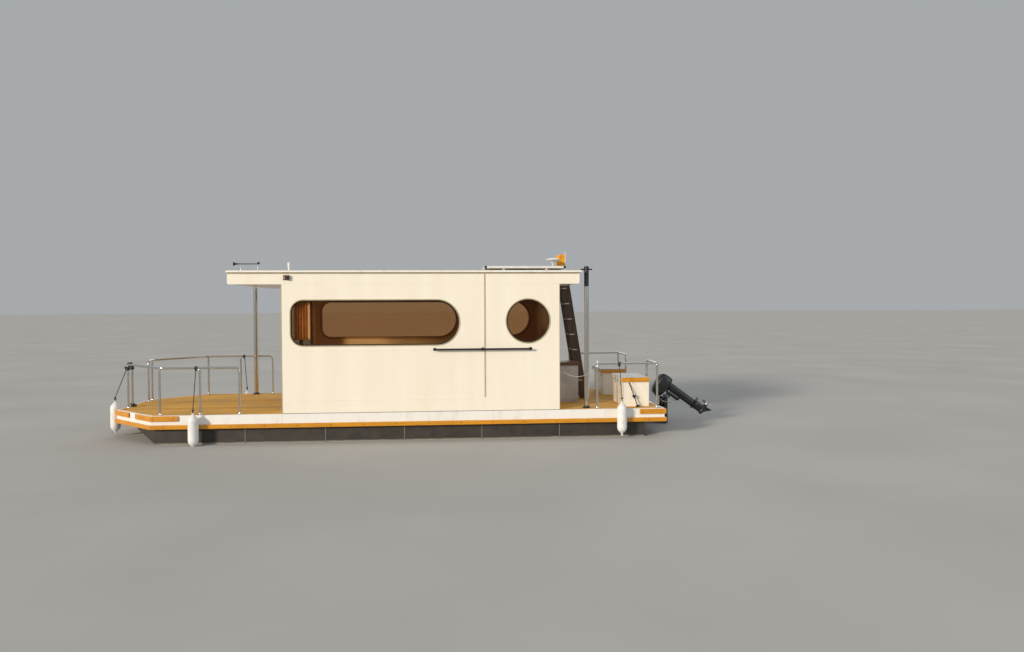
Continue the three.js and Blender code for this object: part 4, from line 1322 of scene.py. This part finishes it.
def fenders():
    """Each fender is a blown vinyl body with an eye at both ends, on a rope from the rail."""
    rope = 0.006
    thin = rope * 0.8
    for name, (hold_x, hold_y, out) in FENDERS.items():
        low, high = reach(name)
        foot = Vector((*(low + high).xy / 2, low.z))
        radius, length = (high.x - low.x) / 2, high.z - low.z
        end = [(0.010, 0.022), (0.014, 0.030), (0.019, 0.040), (0.026, 0.050), (0.040, 0.062),
               (0.055, 0.076), (0.067, 0.093), (0.0745, 0.114), (radius, 0.138)]
        waist = [(radius, h) for h in spread(0.16, length - 0.16, 6)]
        made = bmesh.new()
        turned(made, end + waist + [(r, length - h) for r, h in reversed(end)], foot, sides=48)
        for h in (0.018, length - 0.018):
            tube(made, circle(foot + h * UP, 0.0125, UP.cross(out), UP, 24), 0.0055, 12, closed=True)
        for h in (0.135, length - 0.135):
            turned(made, [(radius - 0.002, h - 0.006), (radius + 0.0008, h - 0.003),
                          (radius + 0.0008, h + 0.003), (radius - 0.002, h + 0.006)], foot, sides=48)
        piece(f"{name}_body", made, "fender_vinyl", replaces=[name])
        made = bmesh.new()
        hold = Vector((hold_x, hold_y, RAIL_HEIGHT))
        start = hold + out * (RAIL_RADIUS + rope) - 0.004 * UP
        finish = foot + (length - 0.008) * UP
        tube(made, bent([start, start - 0.03 * UP, finish + 0.045 * UP, finish], 0.05), rope, 12)
        rail_knot(made, hold, RAIL_RADIUS, Vector((abs(out.y), out.x, 0)), 3, rope, 0.040)
        overhand(made, start - 0.030 * UP, 0.014, thin)
        overhand(made, finish + 0.040 * UP, 0.016, thin)
        tube(made, circle(finish + 0.014 * UP, 0.017, out, UP, 24), thin, 10, closed=True)
        piece(f"{name}_rope", made, "black_rope")


def bow_lashings():
    """Black rope wound on the bow posts' heads and one foot, and one tied down by the port locker."""
    rope = 0.008
    made = bmesh.new()
    for y in (0.35, 0.52):
        rail_knot(made, (RAIL_BOW, y, 0.655), RAIL_RADIUS, UP, 4, rope, 0.060)
    rail_knot(made, (RAIL_BOW, 0.435, RAIL_HEIGHT), RAIL_RADIUS, PORT, 5, rope, 0.080)
    overhand(made, (RAIL_BOW + 0.03, 0.52, 0.660), 0.022, rope)
    rail_knot(made, (RAIL_BOW, 0.35, 0.036), RAIL_RADIUS + 0.003, UP, 3, rope, 0.048)
    overhand(made, (RAIL_BOW - 0.035, 0.352, 0.022), 0.030, rope)
    piece("bow_lashings", made, "black_rope")
    made = bmesh.new()
    foot = Vector((0.395, 1.335, 0.012))
    head = Vector((0.520, 1.262, 0.388))
    knot = foot.lerp(head, 0.42)
    tube(made, [head, head.lerp(foot, 0.3) + 0.006 * PORT, knot, foot], rope, 12)
    overhand(made, knot, 0.026, rope)
    rail_knot(made, foot, 0.012, FORWARD, 3, rope, 0.048)
    piece("locker_lashing", made, "black_rope")
    made = bmesh.new()
    block(made, (0.350, 1.310, GAP), (0.440, 1.360, 0.004))
    turned(made, [(0.011, 0), (0.011, 0.070)], (0.360, 1.335, 0.012), FORWARD, 16)
    for x in (0.362, 0.428):
        block(made, (x - 0.006, 1.326, 0.003), (x + 0.006, 1.344, 0.016))
    turned(made, [(0.012, 0), (0.012, 0.003), (0.006, 0.005), (0.006, 0.012)],
           (head.x, 1.2503, head.z), PORT, 16)
    piece("lashing_eyes", made, "polished_steel", edge=0.0015)


def curtain():
    """Gathered cloth on a rail inside the port window, with its pale lining at the aft edge."""
    low, high = reach("curtain_port")
    rail_z, middle = high.z - 0.014, (low.y + high.y) / 2
    top, foot = high.z - 0.030, low.z + 0.004
    folds, share = 5, 0.16

    def hang(u, v):
        """u runs across the gathered cloth and v up it. The lining's share is turned forward."""
        x = low.x + 0.004 + (high.x - low.x - 0.008) * (u + 0.010 * math.sin(11 * u) * (1 - v))
        gathered = max(u - share, 0) / (1 - share)
        depth = 0.021 + 0.006 * gathered * math.sin(7 * u + 2 * v)
        turn = math.pi + 0.6 + 2 * math.pi * folds * gathered + 0.5 * gathered * math.sin(3 * v)
        flat = 0.030 * max(1 - u / share, 0)
        y = middle + depth * math.sin(turn) + flat
        return Vector((x, y, foot + (top - foot) * v + 0.004 * math.sin(19 * u) * (1 - v)))

    def sheet_between(name, u0, u1, count, finish):
        """The cloth between two places across it, and its width before it was gathered."""
        us = spread(u0, u1, count)
        made = bmesh.new()
        sheet_of(made, hang, us, spread(0, 1, 24))
        thing = piece(name, made, finish, smooth=180)
        thicken(thing, 0.0015)
        return thing, sum((hang(a, 0.5) - hang(b, 0.5)).length for a, b in zip(us, us[1:]))

    lining = sheet_between("curtain_lining", 0, share, 16, "hem_cloth")[0]
    cloth, width = sheet_between("curtain_sheet", share, 1, 121, "curtain_cloth")
    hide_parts("curtain_port")
    made = bmesh.new()
    turned(made, [(0.004, 0), (0.007, 0.002), (0.007, 2.63), (0.004, 2.632)],
           (3.235, middle, rail_z), FORWARD, 16)
    for x in (3.30, 4.55, 5.80):
        block(made, (x - 0.008, middle - 0.006, rail_z - 0.004),
              (x + 0.008, INNER_HALF - GAP, rail_z + 0.004))
    for x in spread(low.x + 0.010, high.x - 0.010, 2 * folds + 1):
        ring = circle(Vector((x, middle, rail_z)), 0.0105, PORT, UP, 16)
        tube(made, ring, 0.0016, 8, closed=True)
    piece("curtain_rail", made, "polished_steel")


def cushion(name, low, high):
    """A foam cushion in a sewn cover, blown up a little inside its seams."""
    low, high = Vector(low), Vector(high)
    inset = 0.006
    made = bmesh.new()
    bmesh.ops.create_cube(made, size=1)
    for vert in made.verts:
        vert.co = [(a + b) / 2 + share * (size - 2 * inset)
                   for a, b, size, share in zip(low, high, high - low, vert.co)]
    thing = object_of(name, made)
    bevel = thing.modifiers.new("soft corners", "BEVEL")
    bevel.width = 0.022
    bevel.segments = 3
    remesh = thing.modifiers.new("even mesh", "REMESH")
    remesh.mode = "VOXEL"
    remesh.voxel_size = 0.009
    apply_modifiers(thing)
    blow_up(thing, 0.010)
    # The cushion rests flat on what is under it
    floor_z = low.z + STERN_AND_DECK.z + GAP
    for vert in thing.data.vertices:
        vert.co.z = max(vert.co.z, floor_z)
    subdivide(thing)
    thing.data.shade_smooth()
    settle(thing, "seat_cloth")
    return thing


def blow_up(thing, cap):
    """Cloth under pressure, and no point moves further than the cap."""
    cloth = thing.modifiers.new("pressure", "CLOTH")
    cloth.settings.use_pressure = True
    cloth.settings.uniform_pressure_force = 4
    cloth.settings.effector_weights.gravity = 0
    scene = bpy.context.scene
    for moment in range(1, 13):
        scene.frame_set(moment)
    graph = bpy.context.evaluated_depsgraph_get()
    moved = [vert.co.copy() for vert in thing.evaluated_get(graph).data.vertices]
    thing.modifiers.clear()
    for vert, after in zip(thing.data.vertices, moved):
        swell = after - vert.co
        vert.co += swell * (cap / max(swell.length, cap))
    scene.frame_set(1)


def seat_piping(name, low, high):
    """The sewn cord round the top edge of a cushion."""
    inset = 0.010
    x0, x1, y0, y1 = low[0] + inset, high[0] - inset, low[1] + inset, high[1] - inset
    z = high[2] - 0.012
    half = ((x0 + x1) / 2, y0, z)
    line = bent([half, (x1, y0, z), (x1, y1, z), (x0, y1, z), (x0, y0, z), half], 0.03)
    made = bmesh.new()
    tube(made, line[:-1], 0.004, 8, closed=True)
    piece(name, made, "seat_cloth")


def seats():
    for name in ("bench", "table", "partition_and_galley"):
        keep_node(name, "birch_ply", 0.004)
    low, high = reach("bench_cushion")
    back_low, back_high = reach("back_cushion")
    cuts = spread(low.x, high.x, 4)
    for number, (x0, x1) in enumerate(zip(cuts, cuts[1:]), 1):
        x0, x1 = x0 + 0.002, x1 - 0.002
        corners = (x0, low.y, low.z), (x1, high.y, high.z)
        seat = cushion(f"seat_cushion_{number}", *corners)
        seat_piping(f"seat_piping_{number}", *corners)
        back = cushion(f"back_cushion_{number}", (x0, back_low.y, back_low.z),
                       (x1, back_high.y, back_high.z))
        if number == 1:
            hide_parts("bench_cushion")
            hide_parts("back_cushion")


def galley():
    """Doors, sink, tap and hob of the galley."""
    edge, front, top = 0.870, 4.700, 0.890
    doors = spread(reach("partition_and_galley")[0].x + WALL + 0.02, front - 0.02, 5)
    leaves, steel, hob = bmesh.new(), bmesh.new(), bmesh.new()
    for a, b in zip(doors, doors[1:]):
        block(leaves, (a + 0.003, edge - 0.012, 0.10), (b - 0.003, edge - GAP, 0.84))
        grip(steel, ((a + b) / 2 - 0.06, edge - 0.010, 0.79), (0, -0.024, 0), (0.12, 0, 0), 0.010, 0.005)
    piece("galley_doors", leaves, "white_moulding", edge=0.002)
    x, y = 3.45, 1.13
    rim = [(0.19, 0.15, 0.0004), (0.19, 0.15, 0.004), (0.175, 0.135, 0.005), (0.165, 0.125, 0.002),
           (0.165, 0.125, 0.0008)]
    skin(steel, [[(x + half_x * c, y + half_y * s, top + lift) for c, s in rounded_square(40, 0.45)]
                 for half_x, half_y, lift in rim])
    tap, spout = Vector((x - 0.06, y + 0.175, top)), Vector((x - 0.06, y + 0.02, top))
    tube(steel, bent([tap, tap + 0.24 * UP, spout + 0.24 * UP, spout + 0.19 * UP], 0.05), 0.009, 16)
    turned(steel, [(0.024, 0), (0.024, 0.006), (0.012, 0.012)], tap, sides=24)
    piece("sink_and_tap", steel, "polished_steel")
    x, y = 4.17, 1.14
    flat_block(hob, x, y, 0.15, top + GAP, top + 0.007)
    for ring_x in (x - 0.07, x + 0.07):
        for r in (0.03, 0.05):
            turned(hob, [(r, 0.006), (r, 0.0095), (r - 0.004, 0.0095), (r - 0.004, 0.006)],
                   (ring_x, y, top), sides=32, closed=True)
    piece("hob", hob, "black_enamel", edge=0.002)


# Outboard motor: the cowl and the propeller are made in the motor's own upright place
COWL_SECTIONS = [
    # x, bottom, top, half width
    (-0.312, 0.115, 0.235, 0.052), (-0.306, 0.088, 0.272, 0.074), (-0.288, 0.070, 0.304, 0.098),
    (-0.250, 0.0605, 0.314, 0.116), (-0.180, 0.0605, 0.3165, 0.1265), (-0.090, 0.0605, 0.311, 0.1275),
    (-0.020, 0.070, 0.300, 0.121), (0.040, 0.084, 0.286, 0.110), (0.074, 0.104, 0.262, 0.094),
    (0.090, 0.128, 0.236, 0.074), (0.0965, 0.150, 0.205, 0.050),
]


def cowl_loop(x, bottom, top, half):
    middle, tall = (bottom + top) / 2, (top - bottom) / 2
    return [(x, half * c, middle + tall * s) for c, s in rounded_square(36, 0.62)]


def outboard():
    keep_node("motor_bracket", "black_enamel", 0.005)
    keep_node("outboard_swivel", "black_enamel", 0.003, 50)
    keep_node("outboard_leg", "black_enamel", 0.004, 50)
    made = bmesh.new()
    skin(made, [cowl_loop(*section) for section in COWL_SECTIONS])
    cowl = piece("cowl_shell", made, "black_enamel", "motor_steer", replaces=["outboard_cowl"],
                 place=MOTOR, smooth=60)
    subdivide(cowl)
    made = bmesh.new()
    turned(made, [(0.012, 0), (0.014, 0.004), (0.014, 0.018), (0.010, 0.022)], (0.092, 0, 0.165),
           FORWARD, 24)
    grip(made, (0.108, -0.045, 0.120), (0.008, 0, 0.002), (0, 0.090, 0), 0.008, 0.006)
    piece("cowl_pull", made, "black_nylon", "motor_steer", place=MOTOR)
    bolts, rods = bmesh.new(), bmesh.new()
    for sign in (-1, 1):
        for z in (-0.06, -0.12):
            turned(bolts, [(0.010, 0), (0.010, 0.006), (0.006, 0.009)], (-0.360, sign * 0.077, z),
                   FORWARD, 6)
        for z in (-0.20, -0.36):
            turned(bolts, [(0.011, 0), (0.011, 0.007), (0.006, 0.010)], (-0.3798, sign * 0.120, z),
                   FORWARD, 6)
        turned(bolts, [(0.016, 0), (0.016, 0.004), (0.012, 0.010), (0.006, 0.012)],
               (-0.450, sign * 0.0922, 0.020), (0, sign, 0), 24)
        clamp = Vector((-0.395, sign * 0.060, -0.045))
        tube(bolts, [clamp, clamp + 0.060 * FORWARD], 0.009, 16)
        tube(bolts, bent([clamp + Vector((0.052, -0.045, 0.022)), clamp + 0.060 * FORWARD,
                          clamp + Vector((0.052, 0.045, -0.022))], 0.02), 0.006, 12)
        y, ends = sign * 0.208, ((-0.340, -0.050), (-0.480, -0.078))
        tube(bolts, [(x, y, z) for x, z in ends], 0.0075, 16)
        for x, z in ends:
            turned(bolts, [(0.012, 0), (0.012, 0.014), (0.008, 0.018)], (x, sign * 0.2003, z),
                   (0, sign, 0), 20)
        tube(rods, [(-0.490, sign * 0.0975, -0.005), (-0.635, sign * 0.0975, -0.082)], 0.007, 16)
    piece("bracket_bolts", bolts, "polished_steel")
    piece("tilt_rods", rods, "polished_steel", "motor_tilt")


def blade_loop(share):
    """A blade's section at a share of its length: a thin oval, bent round the shaft."""
    radius = 0.020 + 0.082 * share
    width = math.sqrt(max(1e-4, 1 - (2 * share - 0.95) ** 2 * 0.9)) * (1 if share < 0.95 else 0.6)
    chord = max(0.030 * width, 0.006)
    thick = 0.0034 * (1 - 0.75 * share) + 0.0006
    pitch = math.radians(66 - 26 * share)
    loop = []
    for a in full_turn(16):
        u, v = chord * math.cos(a), thick * math.sin(a)
        along = u * math.sin(pitch) + v * math.cos(pitch)
        angle = (u * math.cos(pitch) - v * math.sin(pitch)) / radius
        loop.append(Vector((-along * 0.95 - 0.004 * share, radius * math.sin(angle),
                            radius * math.cos(angle))))
    return loop


def propeller():
    """A hub with three raked blades that twist from root to tip."""
    gear_z, hub_front = -0.697, -0.2923
    blade = [blade_loop(share) for share in spread(0, 1, 12)]
    made = bmesh.new()
    turned(made, [(0.024, 0), (0.026, 0.003), (0.026, 0.052), (0.022, 0.062), (0.012, 0.0657)],
           (hub_front, 0, gear_z), AFT, 36)
    middle = Matrix.Translation((hub_front - 0.0352, 0, gear_z))
    for turn in (0, 120, 240):
        spun = middle @ Matrix.Rotation(math.radians(turn), 4, "X")
        skin(made, [[spun @ point for point in loop] for loop in blade])
    piece("propeller_blades", made, "cast_alloy", "propeller", replaces=["propeller"], place=MOTOR,
          smooth=60)


for build in (
    hull, float_seams, rail_plugs, decks, walls, window_frames, wall_trims, roof_trims, handrails, rails,
    spud_poles, ladder, cabinet, lockers, front_door, rear_door, solar_panel, antenna, flag, horn, lights,
    fenders, bow_lashings, curtain, seats, galley, outboard, propeller,
):
    build()


# Floor at the waterline, and soft studio light
def floor():
    half = 250
    z = STERN_AND_DECK.z + WATERLINE
    mesh = bpy.data.meshes.new("floor")
    mesh.from_pydata([(-half, -half, z), (half, -half, z), (half, half, z), (-half, half, z)], [],
                     [(0, 1, 2, 3)])
    material, tree, shader, place = begin("floor", Roughness=1.0, Specular_IOR_Level=0.0)
    paint_with(tree, shader, ramp(tree, noise(tree, place, 0.4, 3), (0.3, "B4B3AF"), (0.7, "BCBBB7")))
    mesh.materials.append(material)
    add_to_scene("floor", mesh)


def lamp(name, place, wide, strength, code):
    """A soft light so many degrees wide, in the direction of a place seen from the boat."""
    data = bpy.data.lights.new(name, "SUN")
    data.angle = math.radians(wide)
    data.energy = strength
    data.color = linear(code)[:3]
    thing = add_to_scene(name, data)
    thing.location = place
    thing.rotation_euler = (-Vector(place)).to_track_quat("-Z", "Y").to_euler()


def light():
    lamp("key", (24.7, 22.5, 9.9), 9, 3.2, "FFF3E4")
    lamp("fill", (-12.3, 9, 4.4), 40, 0.44, "E8F0FF")
    lamp("back", (-4.3, -14, 7.4), 40, 0.50, "F4F6FF")
    world = bpy.data.worlds.new("studio")
    bpy.context.scene.world = world
    world.use_nodes = True
    background = world.node_tree.nodes["Background"]
    background.inputs["Color"].default_value = linear("E4E8EC")
    background.inputs["Strength"].default_value = 0.5
    bpy.context.scene.view_settings.view_transform = "Standard"


floor()
light()
